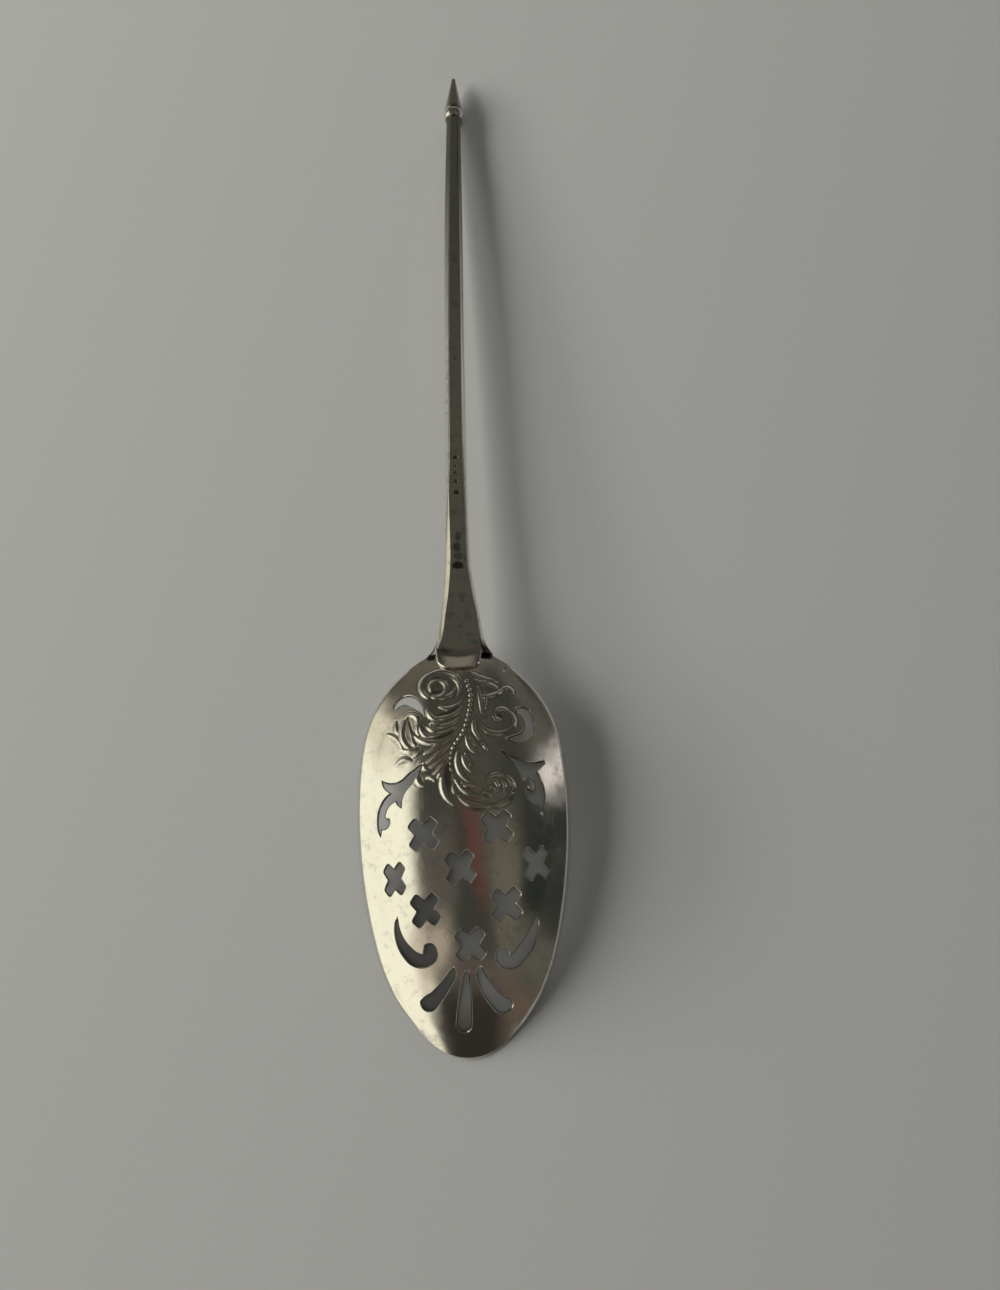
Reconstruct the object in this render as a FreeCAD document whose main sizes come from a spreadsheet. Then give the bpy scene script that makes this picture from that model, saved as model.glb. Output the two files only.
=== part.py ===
"""Mote spoon: a silver skimming spoon for tea, pierced, with a chased leaf on the back of the bowl.

The spoon lies as it comes to rest, face down. +Y runs from the tip of the bowl to the point of
the finial, +X to the right as seen from above, and +Z up. The origin is under the middle of the
spoon, on the surface that it lies on. All sizes are in millimetres.
"""

import FreeCAD, Part
import math
import os

import Sketcher
from FreeCAD import Vector

NODE = "mote_spoon"

doc = FreeCAD.newDocument("MoteSpoon")


# Sizes

SIZES = [
    ("overall_length", 135.5, "tip of the bowl to the point of the finial"),
    ("bowl_length", 46.6, "tip of the bowl to the heel, where the stem starts"),
    ("bowl_width", 25.3, "across the widest part of the bowl"),
    ("widest_from_tip", 26.8, "where the bowl is widest"),
    ("tip_radius", 6.4, "arc of the outline at the tip"),
    ("side_radius", 56.5, "long arc of the outline along each side"),
    ("side_toward_tip", 15.3, "from the widest place to where the side arc ends below it"),
    ("side_toward_heel", 8.1, "from the widest place to where the side arc ends above it"),
    ("heel_corner_back", 0.6, "from the heel back to where the shoulder meets the stem"),
    ("heel_corner_width", 8.6, "across the two corners of the shoulders"),
    ("heel_width", 7.0, "across the outline at the heel"),
    ("wall", 0.65, "thickness of the raised silver"),
    ("rim_edge", 0.25, "upright band that is left around the rim"),
    ("rim_flat", 3.2, "from the tip, how far the rim lies flat on the table"),
    ("rim_rise", 4.0, "height of the rim at the heel"),
    ("keel_tip", -0.45, "back of the bowl, carried on past the tip"),
    ("keel_nose", 1.75, "height of the back just behind the tip"),
    ("keel_fore", 4.45, "height of the back in the front part"),
    ("keel_waist", 6.85, "height of the back at the third cross section"),
    ("keel_middle", 8.2, "height of the back near the widest place"),
    ("keel_top", 8.15, "height of the back at its flattest"),
    ("keel_shoulder", 7.1, "height of the back at the shoulders"),
    ("keel_heel", 5.9, "height of the back just before the heel"),
    ("keel_end", 4.0, "back of the bowl, carried on past the heel"),
    ("tip_section_radius", 6.0, "cross section carried on past the tip"),
    ("heel_section_radius", 10.5, "cross section carried on past the heel"),
    ("stem_heel_width", 7.4, "width of the stem where it flares into the shoulders"),
    ("stem_root_width", 5.4, "width of the stem in the flare"),
    ("stem_flare_width", 4.0, "width of the stem where the flare ends"),
    ("stem_lower_width", 3.2, "width of the stem above the flare"),
    ("stem_middle_width", 2.75, "width of the stem, a quarter of the way up"),
    ("stem_upper_width", 2.6, "width of the stem past the middle"),
    ("stem_high_width", 2.42, "width of the stem near the top"),
    ("stem_neck_width", 1.95, "width of the stem under the finial"),
    ("stem_heel_thickness", 1.4, "thickness of the stem at the heel"),
    ("stem_thickness", 1.9, "thickness of the stem along most of its length"),
    ("stem_chamfer", 0.5, "bevel along the four edges of the stem"),
    ("stem_back_height", 5.4, "height of the flat back of the stem at the heel"),
    ("stem_bow", 0.45, "how far the stem arches above a straight line"),
    ("stem_bend", 0.8, "how far the stem leans to the right at the finial"),
    ("drop_width", 5.5, "width of the rounded tab where the stem runs onto the bowl"),
    ("drop_length", 2.4, "from the heel to the end of the tab"),
    ("drop_corner", 0.75, "radius of the corners of the tab"),
    ("drop_bow", 0.15, "how far the end of the tab bows out"),
    ("drop_height", 0.55, "how far the tab stands above the bowl"),
    ("finial_length", 7.5, "neck to point"),
    ("collar_radius", 1.42, "ring under the cone"),
    ("collar_edge_radius", 1.1, "the ring at its two edges"),
    ("collar_width", 1.55, "length of the ring along the stem"),
    ("cone_radius", 1.22, "base of the cone"),
    ("point_radius", 0.24, "worn point of the cone"),
    ("relief_height", 0.25, "how far the chased leaf stands above the bowl"),
    ("bead_radius", 0.24, "pearls along the spine of the leaf"),
    ("bead_pitch", 0.62, "from one pearl to the next"),
    ("cross_reach", 1.42, "from the middle of a pierced cross to the end of an arm, lengthwise"),
    ("cross_arm", 1.2, "width of an arm of a pierced cross at its end"),
    ("cross_root", 1.6, "width of an arm of a pierced cross where the arms meet"),
]

sheet = doc.addObject("Spreadsheet::Sheet", "Sizes")
for row, (alias, value, note) in enumerate(SIZES, start=1):
    sheet.set(f"A{row}", alias)
    sheet.set(f"B{row}", str(value))
    sheet.set(f"C{row}", note)
    sheet.setAlias(f"B{row}", alias)
doc.recompute()


def size(alias):
    """The number in a cell of the sheet."""
    return float(sheet.get(alias))


TIP_Y = -size("overall_length") / 2
STEM_LENGTH = size("overall_length") - size("bowl_length") - size("finial_length")

# How far the shaping solids reach past the spoon
ABOVE_ALL = 14.0
BELOW_ALL = -8.0
DOME_FOOT = -12.0
CUT_FOOT = -14.0


# The outline of the bowl, as tangent arcs on the right-hand side
# Points are (across, from the tip). The left-hand side mirrors it.


def outline_arcs():
    """Tip, flank, side and shoulder: each arc's centre, radius and two ends."""
    side_centre = Vector(size("bowl_width") / 2 - size("side_radius"), size("widest_from_tip"), 0)
    below = math.asin(size("side_toward_tip") / size("side_radius"))
    above = math.asin(size("side_toward_heel") / size("side_radius"))
    to_flank = Vector(math.cos(below), -math.sin(below), 0)
    to_shoulder = Vector(math.cos(above), math.sin(above), 0)
    flank_end = side_centre + to_flank * size("side_radius")
    shoulder_start = side_centre + to_shoulder * size("side_radius")

    # the flank arc touches the side arc at its end, and the tip arc
    tip_centre = Vector(0, size("tip_radius"), 0)
    reach = flank_end - tip_centre
    flank_radius = (reach.dot(reach) - size("tip_radius") ** 2) / (
        2 * (reach.dot(to_flank) - size("tip_radius"))
    )
    flank_centre = flank_end - to_flank * flank_radius
    outward = (tip_centre - flank_centre).normalize()
    tip_end = tip_centre + outward * size("tip_radius")

    # the shoulder arc touches the side arc and passes through the corner at the heel
    corner = Vector(
        size("heel_corner_width") / 2, size("bowl_length") - size("heel_corner_back"), 0
    )
    span = shoulder_start - corner
    shoulder_radius = span.dot(span) / (2 * span.dot(to_shoulder))
    shoulder_centre = shoulder_start - to_shoulder * shoulder_radius

    return [
        (tip_centre, size("tip_radius"), Vector(0, 0, 0), tip_end),
        (flank_centre, flank_radius, tip_end, flank_end),
        (side_centre, size("side_radius"), flank_end, shoulder_start),
        (shoulder_centre, shoulder_radius, shoulder_start, corner),
    ]


def half_width(from_tip):
    """Half the width of the outline at a distance from the tip."""
    for centre, radius, start, end in outline_arcs():
        if start.y <= from_tip <= end.y:
            return centre.x + math.sqrt(radius**2 - (from_tip - centre.y) ** 2)
    raise ValueError(f"the outline has no width at {from_tip} mm from the tip")


RIM_CURVE = 1.25


def rim_height(from_tip):
    """Height of the rim: flat on the table at the tip, then a gentle curve up to the heel."""
    past_flat = max(from_tip - size("rim_flat"), 0)
    share = past_flat / (size("bowl_length") - size("rim_flat"))
    return size("rim_rise") * share**RIM_CURVE


# Cross sections of the bowl, from past the tip to past the heel
# Each is a circular arc over the keel, wide enough to meet the rim.

STATIONS = [
    ("keel_tip", -0.03),
    ("keel_nose", 0.054),
    ("keel_fore", 0.172),
    ("keel_waist", 0.343),
    ("keel_middle", 0.558),
    ("keel_top", 0.751),
    ("keel_shoulder", 0.88),
    ("keel_heel", 0.955),
    ("keel_end", 1.04),
]
ARC_REACH = math.radians(68)


def section_radius(keel, share):
    """Radius of a cross section whose arc passes the keel and both edges of the rim."""
    if share < 0:
        return size("tip_section_radius")
    if share > 1:
        return size("heel_section_radius")
    from_tip = share * size("bowl_length")
    across = half_width(from_tip)
    depth = size(keel) - rim_height(from_tip) - size("rim_edge")
    return (across**2 + depth**2) / (2 * depth)


def plane(body, role):
    """One of the body's own origin planes."""
    return next(f for f in body.Origin.OriginFeatures if f.Role == role)


def attached_sketch(body, name, role):
    """An empty sketch on one of the body's origin planes."""
    sketch = body.newObject("Sketcher::SketchObject", name)
    sketch.AttachmentSupport = (plane(body, role), [""])
    sketch.MapMode = "FlatFace"
    return sketch


def close_corners(sketch, count):
    """Join each line or arc to the next one, at whichever of their ends meet."""
    for index in range(count):
        following = (index + 1) % count
        ends = [
            (sketch.getPoint(index, end).distanceToPoint(sketch.getPoint(following, start)), end, start)
            for end in (1, 2)
            for start in (1, 2)
        ]
        gap, end, start = min(ends)
        sketch.addConstraint(Sketcher.Constraint("Coincident", index, end, following, start))


def dome_section(body, name, keel, share, raised):
    """One cross section: an arc over the keel and a straight-sided foot below it."""
    radius = section_radius(keel, share) + raised
    drop = radius - raised - size(keel)
    sketch = attached_sketch(body, name, "XZ_Plane")
    sketch.setExpression(
        "AttachmentOffset.Base.z",
        f"Sizes.overall_length / 2 - Sizes.bowl_length * {share}",
    )
    centre = Vector(0, -drop, 0)
    right = centre + Vector(radius * math.sin(ARC_REACH), radius * math.cos(ARC_REACH), 0)
    left = Vector(-right.x, right.y, 0)
    circle = Part.Circle(centre, Vector(0, 0, 1), radius)
    sketch.addGeometry(
        Part.ArcOfCircle(circle, math.pi / 2 - ARC_REACH, math.pi / 2 + ARC_REACH), False
    )
    left_foot = Vector(left.x, DOME_FOOT, 0)
    right_foot = Vector(right.x, DOME_FOOT, 0)
    sketch.addGeometry(Part.LineSegment(left, left_foot), False)
    sketch.addGeometry(Part.LineSegment(left_foot, right_foot), False)
    sketch.addGeometry(Part.LineSegment(right_foot, right), False)
    close_corners(sketch, 4)
    sketch.addConstraint(Sketcher.Constraint("Vertical", 1))
    sketch.addConstraint(Sketcher.Constraint("Horizontal", 2))
    sketch.addConstraint(Sketcher.Constraint("Vertical", 3))
    sketch.addConstraint(Sketcher.Constraint("PointOnObject", 0, 3, -2))
    centre_drop = sketch.addConstraint(Sketcher.Constraint("DistanceY", 0, 3, -1, 1, drop))
    sketch.renameConstraint(centre_drop, "centre_drop")
    sketch.setExpression(
        "Constraints.centre_drop", f"{radius - raised} mm - Sizes.{keel} * 1 mm"
    )
    return sketch


def dome(name, raised):
    """The rounded back of the bowl as a solid down to its foot, raised or lowered all over."""
    body = doc.addObject("PartDesign::Body", name)
    sections = [
        dome_section(body, f"{name}_{keel}", keel, share, raised) for keel, share in STATIONS
    ]
    doc.recompute()
    loft = body.newObject("PartDesign::AdditiveLoft", f"{name}_loft")
    loft.Profile = sections[0]
    loft.Sections = sections[1:]
    loft.Ruled = False
    body.Tip = loft
    return body


outer_dome = dome("outer_dome", 0.0)
hollow = dome("hollow", -size("wall"))
relief_dome = dome("relief_dome", size("relief_height"))
drop_dome = dome("drop_dome", size("drop_height"))
doc.recompute()


# Flat outlines, drawn in plan


# The pattern was drawn for a bowl of this size, and stretches with the bowl
PATTERN_WIDTH = 25.3
PATTERN_LENGTH = 46.6


def in_plan(across, from_tip):
    """A point in the spoon's frame."""
    return Vector(across, TIP_Y + from_tip, 0)


def on_bowl(point):
    """A point of the pattern, given as (across, from the tip)."""
    return in_plan(
        point[0] * size("bowl_width") / PATTERN_WIDTH,
        point[1] * size("bowl_length") / PATTERN_LENGTH,
    )


def curved_wire(start, steps):
    """A closed outline: a step of one point is a straight line, a step of two points is an arc
    through the first of them to the second."""
    edges = []
    here = start
    for step in steps:
        there = step[-1]
        if len(step) == 1:
            edges.append(Part.LineSegment(here, there))
        else:
            edges.append(Part.Arc(here, step[0], there))
        here = there
    if not here.isEqual(start, 1e-6):
        edges.append(Part.LineSegment(here, start))
    return edges


def plan_sketch(name, edges):
    """A sketch in the plan view that holds one closed outline."""
    sketch = doc.addObject("Sketcher::SketchObject", name)
    sketch.addGeometry(edges, False)
    close_corners(sketch, len(edges))
    return sketch


def prism(name, base, low, high):
    """A straight-sided solid over a flat outline."""
    solid = doc.addObject("Part::Extrusion", name)
    solid.Base = base
    solid.DirMode = "Custom"
    solid.Dir = Vector(0, 0, 1)
    solid.LengthFwd = high
    solid.LengthRev = -low
    solid.Solid = True
    return solid


def bowl_outline():
    """The four arcs of the right-hand side, the end at the heel, and the left-hand side."""
    right = []
    left = []
    for centre, radius, start, end in outline_arcs():
        middle = (start + end) * 0.5 - centre
        middle = centre + middle.normalize() * radius
        arc = (start, middle, end)
        right.append(Part.Arc(*(in_plan(point.x, point.y) for point in arc)))
        left.append(Part.Arc(*(in_plan(-point.x, point.y) for point in reversed(arc))))
    heel = [
        in_plan(end.x, end.y),
        in_plan(size("heel_width") / 2, size("bowl_length")),
        in_plan(-size("heel_width") / 2, size("bowl_length")),
        in_plan(-end.x, end.y),
    ]
    heel_lines = [Part.LineSegment(here, there) for here, there in zip(heel, heel[1:])]
    return right + heel_lines + left[::-1]


outline_sketch = plan_sketch("bowl_outline", bowl_outline())
outline_prism = prism("outline_prism", outline_sketch, BELOW_ALL, ABOVE_ALL)


# The rim, seen from the side: what lies below it is cut away

RIM_STEPS = 6
PAST_ENDS = 5.0


def below_rim():
    """A profile in the side view, closed below the rim."""
    past_heel = size("bowl_length") + PAST_ENDS
    curve_points = []
    for step in range(RIM_STEPS + 1):
        from_tip = size("rim_flat") + (past_heel - size("rim_flat")) * step / RIM_STEPS
        curve_points.append(Vector(TIP_Y + from_tip, rim_height(from_tip), 0))
    curve = Part.BSplineCurve()
    curve.interpolate(curve_points)
    start = Vector(TIP_Y - PAST_ENDS, 0, 0)
    start_foot = Vector(start.x, CUT_FOOT, 0)
    end = curve_points[-1]
    end_foot = Vector(end.x, CUT_FOOT, 0)
    return [
        Part.LineSegment(start, curve_points[0]),
        curve,
        Part.LineSegment(end, end_foot),
        Part.LineSegment(end_foot, start_foot),
        Part.LineSegment(start_foot, start),
    ]


rim_cut = doc.addObject("PartDesign::Body", "below_rim")
rim_sketch = attached_sketch(rim_cut, "rim_profile", "YZ_Plane")
rim_sketch.addGeometry(below_rim(), False)
doc.recompute()
rim_pad = rim_cut.newObject("PartDesign::Pad", "below_rim_pad")
rim_pad.Profile = rim_sketch
rim_pad.Midplane = True
rim_pad.setExpression("Length", "Sizes.bowl_width * 2")
rim_cut.Tip = rim_pad


# The drop: a rounded tab that carries the stem onto the back of the bowl


def drop_outline():
    """Straight sides, rounded corners and a slightly bowed end, run on into the stem."""
    half = size("drop_width") / 2
    corner = size("drop_corner")
    end = size("bowl_length") - size("drop_length")
    corner_end = end + size("drop_bow")
    into_stem = size("bowl_length") + size("drop_corner")
    quarter = corner * (1 - math.sqrt(0.5))
    return curved_wire(
        in_plan(half, into_stem),
        [
            [in_plan(half, corner_end + corner)],
            [in_plan(half - quarter, corner_end + quarter), in_plan(half - corner, corner_end)],
            [in_plan(0, end), in_plan(corner - half, corner_end)],
            [in_plan(quarter - half, corner_end + quarter), in_plan(-half, corner_end + corner)],
            [in_plan(-half, into_stem)],
        ],
    )


drop_prism = prism(
    "drop_prism", plan_sketch("drop_outline", drop_outline()), BELOW_ALL, ABOVE_ALL
)
drop = doc.addObject("Part::MultiCommon", "drop")
drop.Shapes = [drop_dome, drop_prism]


# The chased leaf on the back of the bowl
# Each stroke is a crescent: its two ends, a point that its middle passes, and its width there.
# Points are (across, from the tip).

VOLUTE_UPPER_LEFT = [
    ((-3.67, 40.60), (-4.60, 42.10), (-3.52, 43.75), 0.50),
    ((-3.70, 43.65), (-1.75, 43.98), (0.36, 42.11), 0.40),
    ((-1.05, 43.02), (0.03, 41.70), (-0.36, 40.40), 0.34),
    ((-3.20, 41.30), (-3.45, 42.20), (-2.55, 42.79), 0.38),
    ((-2.70, 42.80), (-1.55, 41.80), (-3.30, 40.72), 0.42),
]
LOBES_LEFT = [
    ((-2.40, 39.40), (-1.00, 39.13), (0.20, 39.95), 0.42),
    ((-3.73, 39.35), (-3.40, 38.25), (-2.55, 37.88), 0.42),
    ((-3.10, 37.98), (-1.20, 38.15), (0.35, 39.25), 0.40),
    ((-3.50, 37.15), (-1.90, 36.98), (0.00, 37.95), 0.38),
    ((-4.62, 37.65), (-4.55, 36.55), (-3.60, 35.80), 0.42),
    ((-4.20, 36.05), (-2.30, 36.02), (-0.30, 36.95), 0.42),
    ((-5.60, 36.30), (-3.70, 35.15), (-1.30, 35.75), 0.44),
]
LEAF_FAR_LEFT = [
    ((-5.16, 37.40), (-5.45, 38.55), (-6.60, 38.00), 0.38),
    ((-6.30, 38.25), (-7.00, 36.50), (-5.60, 34.40), 0.48),
    ((-8.65, 36.60), (-7.65, 35.95), (-6.80, 34.45), 0.40),
    ((-7.50, 32.85), (-6.70, 33.35), (-5.80, 33.20), 0.42),
]
LEAF_LOWER_LEFT = [
    ((-1.10, 35.60), (-2.60, 34.62), (-4.15, 33.85), 0.42),
    ((-1.10, 34.90), (-2.45, 33.75), (-4.05, 32.60), 0.42),
    ((-1.30, 33.90), (-2.45, 32.78), (-3.80, 32.15), 0.38),
    ((-1.45, 33.10), (-2.20, 32.15), (-3.35, 31.10), 0.42),
    ((-1.90, 31.70), (-2.10, 29.80), (-0.90, 27.85), 0.50),
]
LOBES_RIGHT = [
    ((-0.15, 34.10), (-0.42, 32.50), (1.20, 30.25), 0.38),
    ((0.75, 35.80), (0.95, 34.70), (1.95, 33.55), 0.38),
    ((1.81, 38.00), (1.60, 36.70), (2.35, 35.20), 0.38),
    ((2.15, 41.70), (2.46, 40.00), (2.60, 37.95), 0.38),
    ((-0.65, 30.75), (0.05, 29.65), (1.25, 28.95), 0.36),
]
VOLUTE_RIGHT = [
    ((2.20, 37.40), (4.00, 36.05), (5.90, 36.80), 0.42),
    ((5.60, 36.40), (6.22, 38.00), (4.80, 38.90), 0.42),
    ((5.10, 38.88), (4.10, 38.70), (4.45, 37.80), 0.38),
]
LEAF_UPPER_RIGHT = [
    ((1.20, 43.85), (2.20, 43.15), (3.85, 42.70), 0.38),
    ((2.60, 41.95), (3.60, 42.00), (4.60, 41.40), 0.38),
    ((2.75, 40.55), (4.10, 40.75), (5.20, 41.60), 0.38),
    ((4.95, 41.40), (5.55, 41.75), (6.25, 40.80), 0.34),
]
VOLUTE_LOWER_RIGHT = [
    ((-0.05, 28.75), (2.00, 27.42), (4.75, 28.10), 0.44),
    ((4.50, 27.90), (5.72, 29.50), (4.50, 31.05), 0.44),
    ((4.80, 30.95), (3.70, 31.10), (2.95, 30.05), 0.42),
]
STROKES = (
    VOLUTE_UPPER_LEFT
    + LOBES_LEFT
    + LEAF_FAR_LEFT
    + LEAF_LOWER_LEFT
    + LOBES_RIGHT
    + VOLUTE_RIGHT
    + LEAF_UPPER_RIGHT
    + VOLUTE_LOWER_RIGHT
)
SPINE = [(0.87, 42.55), (1.30, 40.60), (0.98, 38.20), (0.33, 36.20), (-0.90, 34.20), (-1.02, 31.50)]


CUT_LENGTH = 1.6
PEARL_SIDES = 6


def short_cuts(arc):
    """Points along an arc, as far apart as one cut of the chasing tool."""
    edge = arc.toShape()
    return edge.discretize(Number=max(3, round(edge.Length / CUT_LENGTH)) + 1)


def crescent(start, through, end, width):
    """A flat face between two arcs that share their ends, each chased in short straight cuts."""
    start, through, end = on_bowl(start), on_bowl(through), on_bowl(end)
    chord = (end - start).normalize()
    aside = Vector(-chord.y, chord.x, 0) * (width / 2)
    outer = short_cuts(Part.Arc(start, through + aside, end))
    inner = short_cuts(Part.Arc(end, through - aside, start))
    return Part.Face(Part.makePolygon(outer + inner[1:]))


def pearl_faces():
    """Small flat faces at an even pitch along the spine."""
    spine = Part.BSplineCurve()
    spine.interpolate([on_bowl(point) for point in SPINE])
    turns = [2 * math.pi * side / PEARL_SIDES for side in range(PEARL_SIDES + 1)]
    for centre in spine.toShape().discretize(Distance=size("bead_pitch")):
        corners = [
            centre + Vector(math.cos(turn), math.sin(turn), 0) * size("bead_radius")
            for turn in turns
        ]
        yield Part.Face(Part.makePolygon(corners))


leaf_plan = doc.addObject("Part::Feature", "leaf_plan")
faces = [crescent(*stroke) for stroke in STROKES] + list(pearl_faces())
leaf_plan.Shape = faces[0].multiFuse(faces[1:]).removeSplitter()
leaf_prism = prism("leaf_prism", leaf_plan, 0, ABOVE_ALL)
leaf = doc.addObject("Part::MultiCommon", "leaf")
leaf.Shapes = [relief_dome, leaf_prism]


# Piercings, drawn in plan as arcs and short straight lines

PIERCED = {
    "crescent_left": (
        (-7.94, 39.80),
        [
            [(-6.50, 41.12), (-4.95, 40.32)],
            [(-4.42, 39.40), (-4.22, 38.38)],
            [(-5.25, 39.38), (-6.60, 40.13)],
            [(-7.20, 39.97), (-7.71, 39.48)],
        ],
    ),
    "crescent_right": (
        (6.60, 39.17),
        [
            [(7.60, 39.30), (8.42, 38.41)],
            [(8.62, 36.80), (7.63, 35.35)],
            [(6.50, 35.05), (5.40, 35.45)],
            [(6.70, 35.91)],
            [(7.62, 37.20), (6.75, 38.61)],
        ],
    ),
    "scroll_left": (
        (-4.42, 32.70),
        [
            [(-5.60, 31.97), (-6.63, 31.12)],
            [(-7.90, 30.68), (-9.27, 31.06)],
            [(-9.00, 30.32), (-8.16, 29.65)],
            [(-9.32, 28.58), (-9.88, 26.73)],
            [(-9.84, 25.80), (-9.58, 24.89)],
            [(-9.51, 25.67)],
            [(-8.90, 25.68), (-8.52, 26.70)],
            [(-9.00, 26.85), (-8.98, 27.33)],
            [(-8.45, 28.27), (-7.55, 28.74)],
            [(-7.38, 28.25), (-7.02, 27.96)],
            [(-6.90, 28.95), (-6.28, 30.00)],
            [(-5.15, 31.35), (-4.42, 32.70)],
        ],
    ),
    "scroll_right": (
        (4.65, 34.08),
        [
            [(5.70, 33.40), (6.70, 32.95)],
            [(8.20, 32.65), (9.62, 32.97)],
            [(9.72, 32.68)],
            [(9.20, 32.12), (8.66, 31.68)],
            [(9.35, 30.35), (9.54, 28.71)],
            [(9.38, 27.85), (8.99, 27.03)],
            [(8.91, 27.94)],
            [(7.80, 28.30), (7.49, 29.33)],
            [(7.63, 29.73)],
            [(8.10, 29.33), (8.52, 29.60)],
            [(8.50, 30.20), (7.68, 31.02)],
            [(7.20, 30.70)],
            [(6.55, 31.85), (5.43, 33.21)],
        ],
    ),
    "hook_left": (
        (-7.73, 15.64),
        [
            [(-7.35, 13.90), (-6.21, 12.34)],
            [(-5.50, 11.78), (-4.78, 11.56)],
            [(-4.57, 12.64)],
            [(-3.85, 12.76), (-3.33, 12.13)],
            [(-3.25, 11.30), (-3.78, 10.63)],
            [(-5.30, 10.27), (-6.85, 11.14)],
            [(-7.85, 12.95), (-7.95, 15.16)],
        ],
    ),
    "hook_right": (
        (8.08, 15.56),
        [
            [(8.27, 14.80), (8.16, 13.74)],
            [(7.50, 11.90), (6.42, 10.60)],
            [(5.10, 9.83), (4.13, 9.92)],
            [(3.42, 10.75), (3.52, 11.79)],
            [(4.05, 11.97), (4.74, 11.19)],
            [(5.02, 11.23)],
            [(6.45, 12.78), (7.65, 14.60)],
            [(7.83, 15.07)],
        ],
    ),
    "slot_left": (
        (-1.43, 10.14),
        [
            [(-1.30, 9.55), (-1.77, 8.42)],
            [(-2.62, 7.02), (-3.64, 5.82)],
            [(-4.75, 5.50), (-5.29, 6.52)],
            [(-4.70, 7.03), (-4.03, 7.41)],
            [(-2.80, 8.62), (-1.72, 9.88)],
        ],
    ),
    "slot_middle": (
        (0.17, 9.72),
        [
            [(0.38, 6.90), (0.31, 3.90)],
            [(-0.38, 3.05), (-1.30, 3.92)],
            [(-0.92, 6.40), (-0.35, 9.14)],
            [(-0.05, 9.72)],
        ],
    ),
    "slot_right": (
        (1.58, 10.15),
        [
            [(2.68, 8.30), (4.30, 6.57)],
            [(5.00, 5.80), (4.48, 5.11)],
            [(3.55, 5.02), (2.93, 5.61)],
            [(1.75, 7.40), (1.17, 9.63)],
            [(1.40, 9.99)],
        ],
    ),
}

# Crosses: middle (across, from the tip), reach across, and turn in degrees
CROSSES = {
    "cross_upper_left": ((-4.42, 24.75), 1.33, 4),
    "cross_upper_right": ((3.94, 25.30), 1.34, 5),
    "cross_middle": ((-0.35, 20.95), 1.28, 6),
    "cross_side_left": ((-7.93, 19.95), 0.98, 4),
    "cross_side_right": ((8.33, 21.25), 1.16, 7),
    "cross_lower_left": ((-4.40, 16.45), 1.27, 6),
    "cross_lower_right": ((4.72, 16.78), 1.34, 3),
    "cross_bottom": ((0.52, 12.58), 1.30, 3),
}


def cross_wire(middle, across, turn):
    """Twelve straight edges: four arms that point between the spoon's own directions."""
    along = size("cross_reach")
    half_arm = size("cross_arm") / 2
    half_root = size("cross_root") / 2
    reach = math.hypot(along, along)
    arm = [(reach, -half_arm), (reach, half_arm), (half_root, half_root)]
    squeeze = across / along
    points = []
    for quarter in range(4):
        angle = math.radians(45 + 90 * quarter + turn)
        for outward, aside in arm:
            x = outward * math.cos(angle) - aside * math.sin(angle)
            y = outward * math.sin(angle) + aside * math.cos(angle)
            points.append(on_bowl((middle[0] + x * squeeze, middle[1] + y)))
    return curved_wire(points[0], [[point] for point in points[1:]])


def pierced_wire(start, steps):
    """The outline of one piercing, from points of the pattern."""
    return curved_wire(on_bowl(start), [[on_bowl(point) for point in step] for step in steps])


piercings = [
    prism(f"{name}_hole", plan_sketch(name, pierced_wire(*outline)), 0, ABOVE_ALL)
    for name, outline in PIERCED.items()
]
piercings += [
    prism(f"{name}_hole", plan_sketch(name, cross_wire(*cross)), 0, ABOVE_ALL)
    for name, cross in CROSSES.items()
]


# The bowl: the raised back with its leaf and drop, hollowed, trimmed and pierced

raised_back = doc.addObject("Part::MultiFuse", "raised_back")
raised_back.Shapes = [outer_dome, leaf, drop]
trimmed = doc.addObject("Part::MultiCommon", "trimmed")
trimmed.Shapes = [raised_back, outline_prism]
cutters = doc.addObject("Part::MultiFuse", "cutters")
cutters.Shapes = [hollow, rim_cut] + piercings
bowl = doc.addObject("Part::Cut", "bowl")
bowl.Base = trimmed
bowl.Tool = cutters
doc.recompute()


# The stem: flat-backed at the heel, bevelled, and nearly square where it thins

STEM_WIDTHS = [
    ("stem_heel_width", -0.004),
    ("stem_root_width", 0.019),
    ("stem_flare_width", 0.067),
    ("stem_lower_width", 0.131),
    ("stem_middle_width", 0.248),
    ("stem_upper_width", 0.600),
    ("stem_high_width", 0.820),
    ("stem_neck_width", 1.0),
]
FLARE_SECTIONS = 7
SHAFT_SECTIONS = 9
FLARE_SHARE = 0.16
FULL_THICKNESS_SHARE = 0.25
CROWDING = 1.5


def stem_shares():
    """Where the stem's cross sections lie: close together in the flare, then further apart."""
    start = STEM_WIDTHS[0][1]
    for index in range(FLARE_SECTIONS):
        yield start + (FLARE_SHARE - start) * (index / FLARE_SECTIONS) ** CROWDING
    for index in range(SHAFT_SECTIONS):
        yield FLARE_SHARE + (1 - FLARE_SHARE) * index / (SHAFT_SECTIONS - 1)


def stem_edge():
    """The edge of the stem in plan: half its width against its length above the heel."""
    curve = Part.BSplineCurve()
    curve.interpolate(
        [Vector(share * STEM_LENGTH, size(alias) / 2, 0) for alias, share in STEM_WIDTHS]
    )
    return curve


def half_stem(edge, share):
    """Half the stem's width, where its edge crosses a share of its length."""
    across = Part.LineSegment(
        Vector(share * STEM_LENGTH, 0, 0), Vector(share * STEM_LENGTH, size("bowl_width"), 0)
    )
    crossings = edge.intersect(across)
    return crossings[0].Y if crossings else edge.EndPoint.y


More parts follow.
